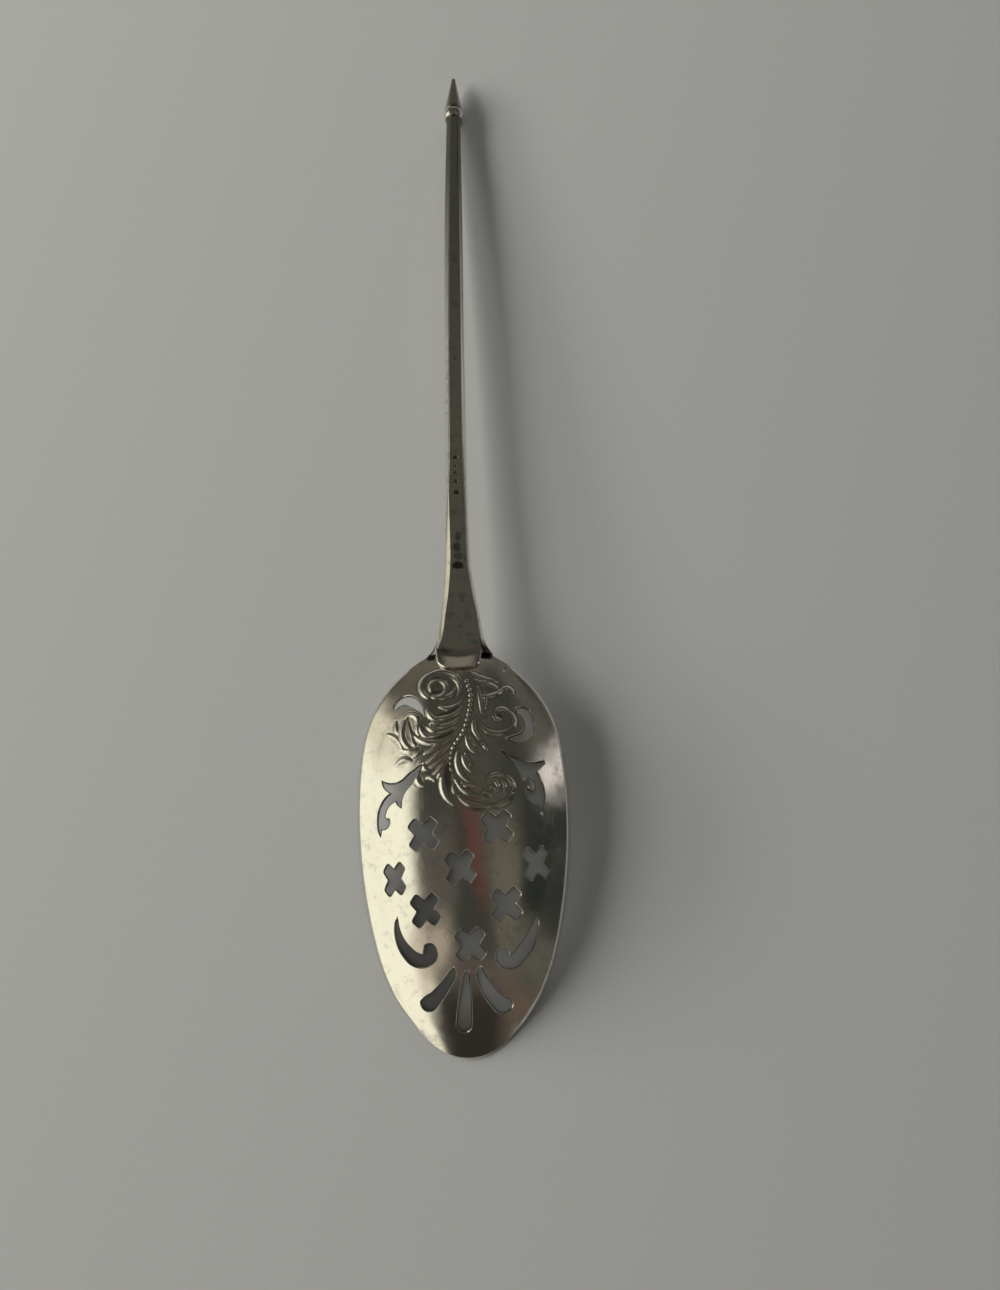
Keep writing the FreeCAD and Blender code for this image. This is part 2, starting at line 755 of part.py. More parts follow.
def stem_section(body, index, share, half):
    """A rectangle with bevelled corners, at a share of the stem's length above the heel."""
    swelling = min(max(share, 0) / FULL_THICKNESS_SHARE, 1)
    thickness = size("stem_heel_thickness") + swelling * (
        size("stem_thickness") - size("stem_heel_thickness")
    )
    end_back = size("collar_radius") + size("stem_thickness") / 2
    straight = size("stem_back_height") + share * (end_back - size("stem_back_height"))
    back = straight + size("stem_bow") * 4 * max(share, 0) * (1 - share)
    front = back - thickness
    aside = size("stem_bend") * share**2
    bevel = min(size("stem_chamfer"), half / 2, thickness / 3)
    corners = [
        (aside - half + bevel, back),
        (aside - half, back - bevel),
        (aside - half, front + bevel),
        (aside - half + bevel, front),
        (aside + half - bevel, front),
        (aside + half, front + bevel),
        (aside + half, back - bevel),
        (aside + half - bevel, back),
    ]
    sketch = attached_sketch(body, f"stem_section_{index}", "XZ_Plane")
    sketch.setExpression(
        "AttachmentOffset.Base.z",
        "Sizes.overall_length / 2 - Sizes.bowl_length"
        f" - {share} * (Sizes.overall_length - Sizes.bowl_length - Sizes.finial_length)",
    )
    points = [Vector(x, z, 0) for x, z in corners]
    for corner, point in enumerate(points):
        sketch.addGeometry(Part.LineSegment(point, points[(corner + 1) % len(points)]), False)
    close_corners(sketch, len(points))
    for upright in (1, 5):
        sketch.addConstraint(Sketcher.Constraint("Vertical", upright))
    for flat in (3, 7):
        sketch.addConstraint(Sketcher.Constraint("Horizontal", flat))
    return sketch


stem = doc.addObject("PartDesign::Body", "stem")
plan_edge = stem_edge()
stem_sections = [
    stem_section(stem, index, share, half_stem(plan_edge, share))
    for index, share in enumerate(stem_shares())
]
doc.recompute()
stem_loft = stem.newObject("PartDesign::AdditiveLoft", "stem_loft")
stem_loft.Profile = stem_sections[0]
stem_loft.Sections = stem_sections[1:]
stem.Tip = stem_loft


# The finial: a turned ring and a pointed cone, for clearing the spout

finial = doc.addObject("PartDesign::Body", "finial")
finial_sketch = attached_sketch(finial, "finial_profile", "XY_Plane")
finial_sketch.setExpression("AttachmentOffset.Base.x", "Sizes.stem_bend")
finial_sketch.setExpression(
    "AttachmentOffset.Base.y", "Sizes.overall_length / 2 - Sizes.finial_length"
)
finial_sketch.setExpression("AttachmentOffset.Base.z", "Sizes.collar_radius")


CORE_SHARE = 0.9


def finial_profile():
    """Half the section of the finial, from its core inside the stem to the blunt point."""
    core = CORE_SHARE * min(size("stem_neck_width"), size("stem_thickness")) / 2
    ring_edge = size("collar_edge_radius")
    ring_end = size("collar_width")
    ring_start = Vector(ring_edge, 0, 0)
    ring_middle = Vector(size("collar_radius"), ring_end / 2, 0)
    after_ring = [
        Vector(ring_edge, ring_end, 0),
        Vector(size("cone_radius"), ring_end, 0),
        Vector(size("point_radius"), size("finial_length"), 0),
        Vector(0, size("finial_length"), 0),
        Vector(0, -core, 0),
        Vector(core, -core, 0),
        Vector(core, 0, 0),
        ring_start,
    ]
    return [Part.Arc(ring_start, ring_middle, after_ring[0])] + [
        Part.LineSegment(here, there) for here, there in zip(after_ring, after_ring[1:])
    ]


profile_edges = finial_profile()
finial_sketch.addGeometry(profile_edges, False)
close_corners(finial_sketch, len(profile_edges))
doc.recompute()
finial_turned = finial.newObject("PartDesign::Revolution", "finial_turned")
finial_turned.Profile = finial_sketch
finial_turned.ReferenceAxis = (finial_sketch, ["V_Axis"])
finial_turned.Angle = 360
finial.Tip = finial_turned


# The spoon, wrought as one piece

spoon = doc.addObject("Part::MultiFuse", NODE)
spoon.Label = NODE
spoon.Shapes = [bowl, stem, finial]
doc.recompute()

for item in doc.Objects:
    if "Invalid" in item.State or "Error" in item.State:
        raise RuntimeError(f"{item.Name} failed: {item.State}")
if spoon.Shape.isNull() or not spoon.Shape.isValid() or len(spoon.Shape.Solids) != 1:
    raise RuntimeError(f"{NODE} is not one valid solid")

os.makedirs("parts", exist_ok=True)
spoon.Shape.exportStep(f"parts/{NODE}.step")
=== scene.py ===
"""A silver mote spoon, face down on pale card: pierced bowl, chased leaf, drop, stem, finial."""

import math

import bpy
import numpy as np
from mathutils import Matrix, Vector
from mathutils.geometry import delaunay_2d_cdt
from mathutils.kdtree import KDTree


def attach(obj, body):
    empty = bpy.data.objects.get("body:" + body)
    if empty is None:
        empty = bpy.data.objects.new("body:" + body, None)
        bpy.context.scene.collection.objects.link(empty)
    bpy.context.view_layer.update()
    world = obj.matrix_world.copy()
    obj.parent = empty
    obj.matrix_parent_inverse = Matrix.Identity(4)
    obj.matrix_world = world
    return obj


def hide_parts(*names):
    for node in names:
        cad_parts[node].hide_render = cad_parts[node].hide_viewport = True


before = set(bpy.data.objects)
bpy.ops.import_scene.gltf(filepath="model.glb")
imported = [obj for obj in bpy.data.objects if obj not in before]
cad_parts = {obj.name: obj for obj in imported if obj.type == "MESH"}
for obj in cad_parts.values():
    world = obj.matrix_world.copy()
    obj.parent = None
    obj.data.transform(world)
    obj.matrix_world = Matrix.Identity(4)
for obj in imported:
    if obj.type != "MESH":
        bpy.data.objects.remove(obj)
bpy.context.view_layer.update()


# The bowl
# Sheet silver, raised with a hammer into an oval dome, 0.65 mm thick. It lies face down, on the
# front of its rim. Plan points are (across, from the tip) in millimetres, and heights are too.

MM = 0.001
TIP = -67.75
BOWL_LENGTH = 46.6
WALL = 0.65
RIM_FLAT = 3.2
RIM_RISE = 4.0
RIM_EDGE = 0.25

# the outline is four tangent arcs a side: centre, radius, and the angles where each runs
OUTLINE_ARCS = [
    ((0.0, 6.4), 6.4, -90.0, -49.59),
    ((-9.03, 17.005), 20.329, -49.59, -15.71),
    ((-43.85, 26.8), 56.5, -15.71, 8.24),
    ((-2.834, 32.742), 15.056, 8.24, 61.72),
]
# the back along the middle: from the tip, and height
KEEL = [
    (-1.40, -0.45),
    (2.52, 1.75),
    (8.02, 4.45),
    (15.98, 6.85),
    (26.00, 8.20),
    (35.00, 8.15),
    (41.01, 7.10),
    (44.50, 5.90),
    (48.46, 4.00),
]


def in_plan(points):
    """Points of the spoon, from (across, from the tip, height) in millimetres."""
    points = np.asarray(points, float)
    return np.column_stack([points[:, 0], points[:, 1] + TIP, points[:, 2]]) * MM


def curve_through(stations, values):
    """A smooth curve through the values, as a function."""
    stations, values = np.asarray(stations, float), np.asarray(values, float)
    gaps = np.diff(stations)
    count = len(stations)
    bends = np.eye(count)
    pulls = np.zeros(count)
    slopes = np.diff(values) / gaps
    for row in range(1, count - 1):
        before, after = gaps[row - 1 : row + 1]
        bends[row, row - 1 : row + 2] = before, 2 * (before + after), after
        pulls[row] = 6 * (slopes[row] - slopes[row - 1])
    second = np.linalg.solve(bends, pulls)

    def curve(at):
        at = np.asarray(at, float)
        span = np.clip(np.searchsorted(stations, at) - 1, 0, count - 2)
        near, far, gap = at - stations[span], stations[span + 1] - at, gaps[span]
        return (
            (second[span] * far**3 + second[span + 1] * near**3) / (6 * gap)
            + (values[span] / gap - second[span] * gap / 6) * far
            + (values[span + 1] / gap - second[span + 1] * gap / 6) * near
        )

    return curve


def ramp(value, start, end):
    """From 0 at the start to 1 at the end, and level beyond both."""
    return np.clip((value - start) / (end - start), 0, 1)


def outline_side(step):
    """Points up the right-hand side of the outline, from the tip to the corner at the heel."""
    points = []
    for centre, radius, start, end in OUTLINE_ARCS:
        count = math.ceil(math.radians(end - start) * radius / step)
        for turn in np.radians(np.linspace(start, end, count + 1)[:-1]):
            points.append(
                (centre[0] + radius * math.cos(turn), centre[1] + radius * math.sin(turn))
            )
    return points + [(4.3, 46.0)]


def rim_height(from_tip):
    """The rim lies flat in front, then lifts in a gentle curve to the heel."""
    past_flat = np.maximum(np.asarray(from_tip, float) - RIM_FLAT, 0)
    return RIM_RISE * (past_flat / (BOWL_LENGTH - RIM_FLAT)) ** 1.25


side = np.array(outline_side(0.1))
stations = [station for station, height in KEEL]
rounding = []
for station, height in KEEL[1:-1]:
    across = np.interp(station, side[:, 1], side[:, 0])
    depth = height - float(rim_height(station)) - RIM_EDGE
    rounding.append((across**2 + depth**2) / (2 * depth))
keel = curve_through(stations, [height for station, height in KEEL])
section_radius = curve_through(stations, [6.0, *rounding, 10.5])


def back_height(points, sunk=0.0):
    """The bowl's back, or the surface that lies a wall below it."""
    radius = section_radius(points[:, 1]) - sunk
    room = np.maximum(radius**2 - points[:, 0] ** 2, 0.01)
    return keel(points[:, 1]) - sunk - (radius - np.sqrt(room))


# The piercings
# The bowl is sawn and filed through in scrolls, slots and crosses, which let the tea drain and
# hold the leaves back. A few light strokes of the file break the edge of each one.


def arc_through(start, middle, end, step):
    """Points along the arc from start to end through middle, without the last."""
    start, middle, end = (np.asarray(point, float) for point in (start, middle, end))
    across, along = middle - start, end - start
    turn = 2 * (across[0] * along[1] - across[1] * along[0])
    if abs(turn) < 1e-9:
        count = max(1, math.ceil(np.linalg.norm(along) / step))
        return [start + along * share for share in np.arange(count) / count]
    centre = start + np.array(
        [
            (along[1] * across @ across - across[1] * along @ along) / turn,
            (across[0] * along @ along - along[0] * across @ across) / turn,
        ]
    )
    radius = np.linalg.norm(start - centre)
    first, passing, last = (
        math.atan2(point[1] - centre[1], point[0] - centre[0]) for point in (start, middle, end)
    )
    sweep = (last - first) % (2 * math.pi)
    if (passing - first) % (2 * math.pi) > sweep:
        sweep -= 2 * math.pi
    count = max(2, math.ceil(abs(sweep) * radius / step))
    turns = first + sweep * np.arange(count) / count
    return [centre + radius * np.array([math.cos(turn), math.sin(turn)]) for turn in turns]


def sawn(moves, step=0.22):
    """An outline from its first point: a move to one point is a straight cut, and through another
    point it is an arc."""
    here = moves[0][0]
    points = []
    for move in [*moves[1:], moves[0]]:
        there = move[-1]
        if math.dist(here, there) > 1e-6:
            middle = move[0] if len(move) == 2 else (np.add(here, there) / 2)
            points += arc_through(here, middle, there, step)
        here = there
    return np.array(points)


PIERCED = [
    # crescents beside the leaf
    [
        [(-7.94, 39.80)],
        [(-6.50, 41.12), (-4.95, 40.32)],
        [(-4.42, 39.40), (-4.22, 38.38)],
        [(-5.25, 39.38), (-6.60, 40.13)],
        [(-7.20, 39.97), (-7.71, 39.48)],
    ],
    [
        [(6.60, 39.17)],
        [(7.60, 39.30), (8.42, 38.41)],
        [(8.62, 36.80), (7.63, 35.35)],
        [(6.50, 35.05), (5.40, 35.45)],
        [(6.70, 35.91)],
        [(7.62, 37.20), (6.75, 38.61)],
    ],
    # thorned scrolls down each side
    [
        [(-4.42, 32.70)],
        [(-5.60, 31.97), (-6.63, 31.12)],
        [(-7.90, 30.68), (-9.27, 31.06)],
        [(-9.00, 30.32), (-8.16, 29.65)],
        [(-9.32, 28.58), (-9.88, 26.73)],
        [(-9.84, 25.80), (-9.58, 24.89)],
        [(-9.51, 25.67)],
        [(-8.90, 25.68), (-8.52, 26.70)],
        [(-9.00, 26.85), (-8.98, 27.33)],
        [(-8.45, 28.27), (-7.55, 28.74)],
        [(-7.38, 28.25), (-7.02, 27.96)],
        [(-6.90, 28.95), (-6.28, 30.00)],
        [(-5.15, 31.35), (-4.42, 32.70)],
    ],
    [
        [(4.65, 34.08)],
        [(5.70, 33.40), (6.70, 32.95)],
        [(8.20, 32.65), (9.62, 32.97)],
        [(9.72, 32.68)],
        [(9.20, 32.12), (8.66, 31.68)],
        [(9.35, 30.35), (9.54, 28.71)],
        [(9.38, 27.85), (8.99, 27.03)],
        [(8.91, 27.94)],
        [(7.80, 28.30), (7.49, 29.33)],
        [(7.63, 29.73)],
        [(8.10, 29.33), (8.52, 29.60)],
        [(8.50, 30.20), (7.68, 31.02)],
        [(7.20, 30.70)],
        [(6.55, 31.85), (5.43, 33.21)],
    ],
    # hooks at the front
    [
        [(-7.73, 15.64)],
        [(-7.35, 13.90), (-6.21, 12.34)],
        [(-5.50, 11.78), (-4.78, 11.56)],
        [(-4.57, 12.64)],
        [(-3.85, 12.76), (-3.33, 12.13)],
        [(-3.25, 11.30), (-3.78, 10.63)],
        [(-5.30, 10.27), (-6.85, 11.14)],
        [(-7.85, 12.95), (-7.95, 15.16)],
    ],
    [
        [(8.08, 15.56)],
        [(8.27, 14.80), (8.16, 13.74)],
        [(7.50, 11.90), (6.42, 10.60)],
        [(5.10, 9.83), (4.13, 9.92)],
        [(3.42, 10.75), (3.52, 11.79)],
        [(4.05, 11.97), (4.74, 11.19)],
        [(5.02, 11.23)],
        [(6.45, 12.78), (7.65, 14.60)],
        [(7.83, 15.07)],
    ],
    # three slots that fan out at the tip
    [
        [(-1.43, 10.14)],
        [(-1.30, 9.55), (-1.77, 8.42)],
        [(-2.62, 7.02), (-3.64, 5.82)],
        [(-4.75, 5.50), (-5.29, 6.52)],
        [(-4.70, 7.03), (-4.03, 7.41)],
        [(-2.80, 8.62), (-1.72, 9.88)],
    ],
    [
        [(0.17, 9.72)],
        [(0.38, 6.90), (0.31, 3.90)],
        [(-0.38, 3.05), (-1.30, 3.92)],
        [(-0.92, 6.40), (-0.35, 9.14)],
        [(-0.05, 9.72)],
    ],
    [
        [(1.58, 10.15)],
        [(2.68, 8.30), (4.30, 6.57)],
        [(5.00, 5.80), (4.48, 5.11)],
        [(3.55, 5.02), (2.93, 5.61)],
        [(1.75, 7.40), (1.17, 9.63)],
        [(1.40, 9.99)],
    ],
]

# crosses: middle, reach across, and turn in degrees
CROSSES = [
    ((-4.42, 24.75), 1.33, 4),
    ((3.94, 25.30), 1.34, 5),
    ((-0.35, 20.95), 1.28, 6),
    ((-7.93, 19.95), 0.98, 4),
    ((8.33, 21.25), 1.16, 7),
    ((-4.40, 16.45), 1.27, 6),
    ((4.72, 16.78), 1.34, 3),
    ((0.52, 12.58), 1.30, 3),
]
CROSS_REACH = 1.42
CROSS_ARM = 1.15
CROSS_ROOT = 1.4
ARM_ROUNDING = 0.24
NOTCH_ROUNDING = 0.16


def rounded_corners(corners, reaches, steps=4):
    """The corners of an outline, each cut back by its reach and rounded."""
    points = []
    count = len(corners)
    for index, reach in enumerate(reaches):
        before, corner, after = (
            np.asarray(corners[(index + step) % count], float) for step in (-1, 0, 1)
        )
        start = corner + (before - corner) / np.linalg.norm(before - corner) * reach
        end = corner + (after - corner) / np.linalg.norm(after - corner) * reach
        for share in np.linspace(0, 1, steps + 1):
            points.append(
                start * (1 - share) ** 2 + corner * 2 * share * (1 - share) + end * share**2
            )
    return np.array(points)


def filled_in(points, step):
    """The outline with more points along its long edges."""
    out = []
    for here, there in zip(points, np.roll(points, -1, axis=0)):
        count = max(1, math.ceil(np.linalg.norm(there - here) / step))
        out += [here + (there - here) * share for share in np.arange(count) / count]
    return np.array(out)


def cross_outline(middle, across, turn):
    """Four short arms that point between the spoon's own directions, with filed corners."""
    reach = math.hypot(CROSS_REACH, CROSS_REACH)
    corners = []
    for quarter in range(4):
        angle = math.radians(45 + 90 * quarter + turn)
        arm = [(reach, -CROSS_ARM / 2), (reach, CROSS_ARM / 2), (CROSS_ROOT / 2, CROSS_ROOT / 2)]
        for outward, aside in arm:
            x = outward * math.cos(angle) - aside * math.sin(angle)
            y = outward * math.sin(angle) + aside * math.cos(angle)
            corners.append((middle[0] + x * across / CROSS_REACH, middle[1] + y))
    reaches = [ARM_ROUNDING, ARM_ROUNDING, NOTCH_ROUNDING] * 4
    return filled_in(rounded_corners(corners, reaches), 0.25)


def counter_clockwise(ring):
    """The same closed outline, run round to the left."""
    after = np.roll(ring, -1, axis=0)
    area = np.sum(ring[:, 0] * after[:, 1] - ring[:, 1] * after[:, 0])
    return ring if area > 0 else ring[::-1]


def moved_outward(ring, distance):
    """A counter-clockwise outline, moved outward by a distance, with nothing turned over."""
    before, after = np.roll(ring, 1, axis=0), np.roll(ring, -1, axis=0)
    into, out = ring - before, after - ring
    into /= np.linalg.norm(into, axis=1)[:, None]
    out /= np.linalg.norm(out, axis=1)[:, None]
    normals = np.column_stack([into[:, 1] + out[:, 1], -into[:, 0] - out[:, 0]])
    normals /= np.maximum(np.linalg.norm(normals, axis=1)[:, None], 0.2)
    mitre = 1 / np.maximum(np.sum(normals * np.column_stack([out[:, 1], -out[:, 0]]), axis=1), 0.5)
    moved = ring + normals * (distance * mitre)[:, None]
    turned = np.sum((np.roll(moved, -1, axis=0) - moved) * (after - ring), axis=1) <= 0
    for index in np.nonzero(turned)[0]:
        following = (index + 1) % len(ring)
        moved[index] = moved[following] = (moved[index] + moved[following]) / 2
    return moved


holes = [counter_clockwise(sawn(moves)) for moves in PIERCED]
holes += [counter_clockwise(cross_outline(*cross)) for cross in CROSSES]


# The chased leaf
# An acanthus scroll, chased from the back with small punches: raised strokes with a rounded top,
# a sunk line beside each one, and a row of pearls up the middle rib.

# strokes: the two ends, a point that the middle passes, and the full width
STROKES = [
    # upper left volute
    ((-3.67, 40.60), (-4.60, 42.10), (-3.52, 43.75), 0.50),
    ((-3.70, 43.65), (-1.75, 43.98), (0.36, 42.11), 0.40),
    ((-1.05, 43.02), (0.03, 41.70), (-0.36, 40.40), 0.34),
    ((-3.20, 41.30), (-3.45, 42.20), (-2.55, 42.79), 0.38),
    ((-2.70, 42.80), (-1.55, 41.80), (-3.30, 40.72), 0.42),
    ((-2.90, 40.75), (-1.20, 40.70), (-0.45, 41.60), 0.36),
    # lobes to the left of the rib
    ((-2.40, 39.40), (-1.00, 39.13), (0.20, 39.95), 0.42),
    ((-3.73, 39.35), (-3.40, 38.25), (-2.55, 37.88), 0.42),
    ((-3.10, 37.98), (-1.20, 38.15), (0.35, 39.25), 0.40),
    ((-3.50, 37.15), (-1.90, 36.98), (0.00, 37.95), 0.38),
    ((-4.62, 37.65), (-4.55, 36.55), (-3.60, 35.80), 0.42),
    ((-4.20, 36.05), (-2.30, 36.02), (-0.30, 36.95), 0.42),
    ((-5.60, 36.30), (-3.70, 35.15), (-1.30, 35.75), 0.44),
    ((-3.47, 37.35), (-3.00, 37.52), (-2.35, 37.11), 0.34),
    ((-3.81, 37.00), (-3.27, 36.60), (-2.55, 36.55), 0.36),
    ((-4.60, 37.70), (-5.05, 36.90), (-4.75, 36.05), 0.34),
    ((-5.45, 36.31), (-5.79, 35.66), (-5.24, 35.00), 0.36),
    # bud at the far left
    ((-5.16, 37.40), (-5.45, 38.55), (-6.60, 38.00), 0.38),
    ((-6.30, 38.25), (-7.00, 36.50), (-5.60, 34.40), 0.48),
    ((-6.24, 38.00), (-5.92, 36.40), (-5.30, 34.90), 0.36),
    ((-7.55, 37.95), (-7.68, 37.30), (-7.40, 36.50), 0.34),
    ((-8.65, 36.60), (-7.65, 35.95), (-6.80, 34.45), 0.40),
    ((-7.10, 34.64), (-6.13, 34.30), (-5.04, 34.48), 0.42),
    ((-5.59, 33.55), (-5.04, 33.90), (-4.43, 34.06), 0.34),
    ((-7.50, 32.85), (-6.70, 33.35), (-5.80, 33.20), 0.42),
    # leaf tips at the lower left
    ((-1.10, 35.60), (-2.60, 34.62), (-4.15, 33.85), 0.42),
    ((-1.10, 34.90), (-2.45, 33.75), (-4.05, 32.60), 0.42),
    ((-1.30, 33.90), (-2.45, 32.78), (-3.80, 32.15), 0.38),
    ((-1.45, 33.10), (-2.20, 32.15), (-3.35, 31.10), 0.42),
    ((-1.50, 32.40), (-2.05, 31.75), (-2.70, 30.90), 0.38),
    ((-1.90, 31.70), (-2.10, 29.80), (-0.90, 27.85), 0.50),
    ((-4.38, 32.72), (-4.22, 32.25), (-3.85, 31.96), 0.40),
    ((-5.06, 31.72), (-5.07, 30.86), (-4.34, 30.16), 0.46),
    ((-3.93, 30.98), (-3.33, 31.02), (-3.03, 30.60), 0.34),
    ((-0.79, 30.17), (-0.87, 29.66), (-0.75, 29.07), 0.28),
    # lobes to the right of the rib
    ((-0.15, 34.10), (-0.42, 32.50), (1.20, 30.25), 0.38),
    ((0.25, 33.50), (0.50, 32.50), (1.40, 31.40), 0.36),
    ((0.62, 33.90), (0.72, 33.00), (1.45, 32.20), 0.32),
    ((1.17, 35.94), (1.34, 35.12), (2.12, 34.44), 0.34),
    ((1.55, 37.30), (1.76, 36.07), (2.60, 35.10), 0.32),
    ((2.26, 34.84), (2.77, 34.50), (3.04, 33.76), 0.26),
    ((0.75, 35.80), (0.95, 34.70), (1.95, 33.55), 0.38),
    ((1.81, 38.00), (1.60, 36.70), (2.35, 35.20), 0.38),
    ((2.15, 41.70), (2.46, 40.00), (2.60, 37.95), 0.38),
    ((-0.65, 30.75), (0.17, 29.55), (2.00, 28.74), 0.38),
    ((0.06, 30.50), (0.65, 29.90), (1.60, 30.05), 0.32),
    ((2.95, 41.14), (3.02, 39.69), (2.72, 38.48), 0.26),
    # volute on the right
    ((2.20, 37.40), (3.90, 35.98), (5.70, 36.55), 0.46),
    ((5.55, 36.40), (6.34, 37.64), (5.60, 38.72), 0.38),
    ((5.80, 38.60), (4.77, 39.02), (4.01, 38.35), 0.36),
    ((4.00, 38.45), (4.15, 37.75), (4.85, 37.75), 0.34),
    # leaf at the upper right
    ((1.20, 43.85), (2.20, 43.15), (3.85, 42.70), 0.38),
    ((1.80, 42.70), (2.70, 42.40), (3.70, 42.35), 0.30),
    ((2.60, 41.95), (3.60, 42.00), (4.60, 41.40), 0.38),
    ((2.75, 40.55), (4.10, 40.75), (5.20, 41.60), 0.38),
    ((4.95, 41.40), (5.55, 41.75), (6.25, 40.80), 0.34),
    # volute at the lower right
    ((-0.40, 28.95), (1.29, 27.72), (3.50, 27.75), 0.50),
    ((3.10, 27.70), (5.06, 28.10), (5.85, 29.55), 0.44),
    ((5.86, 29.20), (5.75, 30.40), (4.65, 31.02), 0.40),
    ((4.95, 30.95), (3.72, 31.14), (2.90, 30.30), 0.38),
    ((2.98, 30.27), (3.45, 30.59), (4.10, 30.53), 0.26),
    ((3.50, 30.50), (4.12, 30.10), (4.06, 29.36), 0.28),
    ((4.45, 30.60), (4.95, 30.00), (4.77, 29.16), 0.28),
    ((3.10, 29.85), (3.55, 29.68), (3.86, 29.29), 0.24),
    ((2.09, 28.74), (2.78, 29.04), (3.38, 28.52), 0.30),
]
RIB = [(0.87, 42.55), (1.30, 40.60), (0.98, 38.20), (0.33, 36.20), (-0.90, 34.20), (-1.02, 31.50)]
PEARL_RADIUS = 0.25
PEARL_PITCH = 0.62
PEARL_HEIGHT = 0.16
STROKE_HEIGHT = 0.15
STROKE_BREADTH = 0.8
LOBE_HEIGHT = 0.05
LOBE_REACH = 0.75
SUNK_LINE_OFFSET = 0.05
SUNK_LINE_WIDTH = 0.13
SUNK_LINE_DEPTH = 0.05
PEARL_RING_DEPTH = 0.06
# grooves in the eyes of the scrolls, beside the foot of the rib and down the bud, as the strokes
GROOVES = [
    ((-3.10, 42.95), (-2.39, 43.02), (-1.84, 42.69), 0.30),
    ((-3.20, 41.37), (-2.59, 41.15), (-1.97, 41.58), 0.32),
    ((4.30, 38.15), (4.60, 38.20), (4.85, 37.95), 0.30),
    ((-1.35, 32.40), (-1.45, 31.20), (-1.20, 29.70), 0.60),
    ((-6.34, 37.97), (-6.13, 36.48), (-5.77, 35.13), 0.26),
    ((-2.60, 38.35), (-1.30, 38.62), (-0.20, 39.30), 0.24),
    ((-3.10, 35.62), (-2.00, 35.75), (-0.90, 36.30), 0.24),
]
GROOVE_DEPTH = 0.1
# small knocks to the right of the leaf, which catch the light
KNOCKS = [
    (5.45, 44.20, 0.34, 0.075),
    (4.34, 42.63, 0.36, 0.085),
    (6.85, 43.10, 0.28, 0.06),
    (7.30, 42.60, 0.25, 0.06),
    (3.63, 20.11, 0.18, 0.035),
    (3.88, 14.15, 0.18, 0.035),
]
LEAF_CORNERS = ((-9.2, 13.5), (7.7, 44.8))


def along_rib():
    """The middles of the pearls."""
    stations = np.cumsum([0.0] + [math.dist(a, b) for a, b in zip(RIB, RIB[1:])])
    across = curve_through(stations, [point[0] for point in RIB])
    along = curve_through(stations, [point[1] for point in RIB])
    at = np.arange(0, stations[-1], PEARL_PITCH)
    return np.column_stack([across(at), along(at)])


def from_line(points, line):
    """How far each point lies from a line of points, and how far along the line that is."""
    nearest = np.full(len(points), 99.0)
    share = np.zeros(len(points))
    for index, (here, there) in enumerate(zip(line, line[1:])):
        run = there - here
        part = np.clip(((points - here) @ run) / (run @ run), 0, 1)
        gap = np.linalg.norm(points - here - part[:, None] * run, axis=1)
        closer = gap < nearest
        nearest[closer] = gap[closer]
        share[closer] = (index + part[closer]) / (len(line) - 1)
    return nearest, share


def from_stroke(points, start, middle, end):
    """How far each point lies from a stroke, and how full the stroke is there."""
    line = np.array(arc_through(start, middle, end, 0.35) + [np.array(end)])
    nearest, share = from_line(points, line)
    return nearest, 0.45 + 0.55 * np.sin(np.pi * share)


def chasing(points):
    """How far the metal stands up or is sunk at each point, for the strokes and pearls."""
    raised = np.zeros(len(points))
    lobes = np.zeros(len(points))
    sunk = np.zeros(len(points))
    for start, middle, end, width in STROKES:
        nearest, swell = from_stroke(points, start, middle, end)
        half = swell * width * STROKE_BREADTH
        top = STROKE_HEIGHT * swell * np.clip(1 - (nearest / half) ** 2, 0, 1)
        beside = np.clip(1 - np.abs(nearest - half - SUNK_LINE_OFFSET) / SUNK_LINE_WIDTH, 0, 1)
        lobe = LOBE_HEIGHT * swell * np.clip(1 - (nearest / LOBE_REACH) ** 2, 0, 1) ** 2
        raised = np.maximum(raised, top)
        lobes = np.maximum(lobes, lobe)
        sunk = np.maximum(sunk, SUNK_LINE_DEPTH * swell * beside)
    for middle in along_rib():
        gap = np.linalg.norm(points - middle, axis=1) / PEARL_RADIUS
        raised = np.maximum(raised, PEARL_HEIGHT * np.sqrt(np.clip(1 - gap**2, 0, 1)))
        ring = np.clip(1 - np.abs(gap - 1.3) / 0.4, 0, 1)
        sunk = np.maximum(sunk, PEARL_RING_DEPTH * ring)
    # a line fades out where it meets a stroke
    sunk *= np.clip(1 - raised / 0.03, 0, 1)
    raised += lobes
    for start, middle, end, width in GROOVES:
        nearest, swell = from_stroke(points, start, middle, end)
        sunk = np.maximum(sunk, GROOVE_DEPTH * swell * np.clip(1 - (nearest / width) ** 2, 0, 1))
    return raised, sunk


def knocked(points):
    """How deep the small knocks are at each point."""
    depths = np.zeros(len(points))
    for across, from_tip, reach, depth in KNOCKS:
        gap = np.linalg.norm(points - (across, from_tip), axis=1) / reach
        depths = np.maximum(depths, depth * np.clip(1 - gap**2, 0, 1) ** 2)
    return depths


# The pierced and chased bowl in one skin
# The outer skin is cut close round each hole and finely in the leaf. The inner skin is plainer.
# File marks bevel the edges of the holes and the rim.

PLAIN_SPACING = 0.5
LEAF_SPACING = 0.14
INNER_SPACING = 0.8
BOWL_CORNERS = ((-13, 0), (13, 47))
SEED_CLEARANCE = 0.1
HOLE_BEVEL = 0.14
RIM_BEVEL = 0.1
RIM_ARRIS = 0.06
THINNEST_RIM = 0.08
WALL_TOP_DROP = 0.05
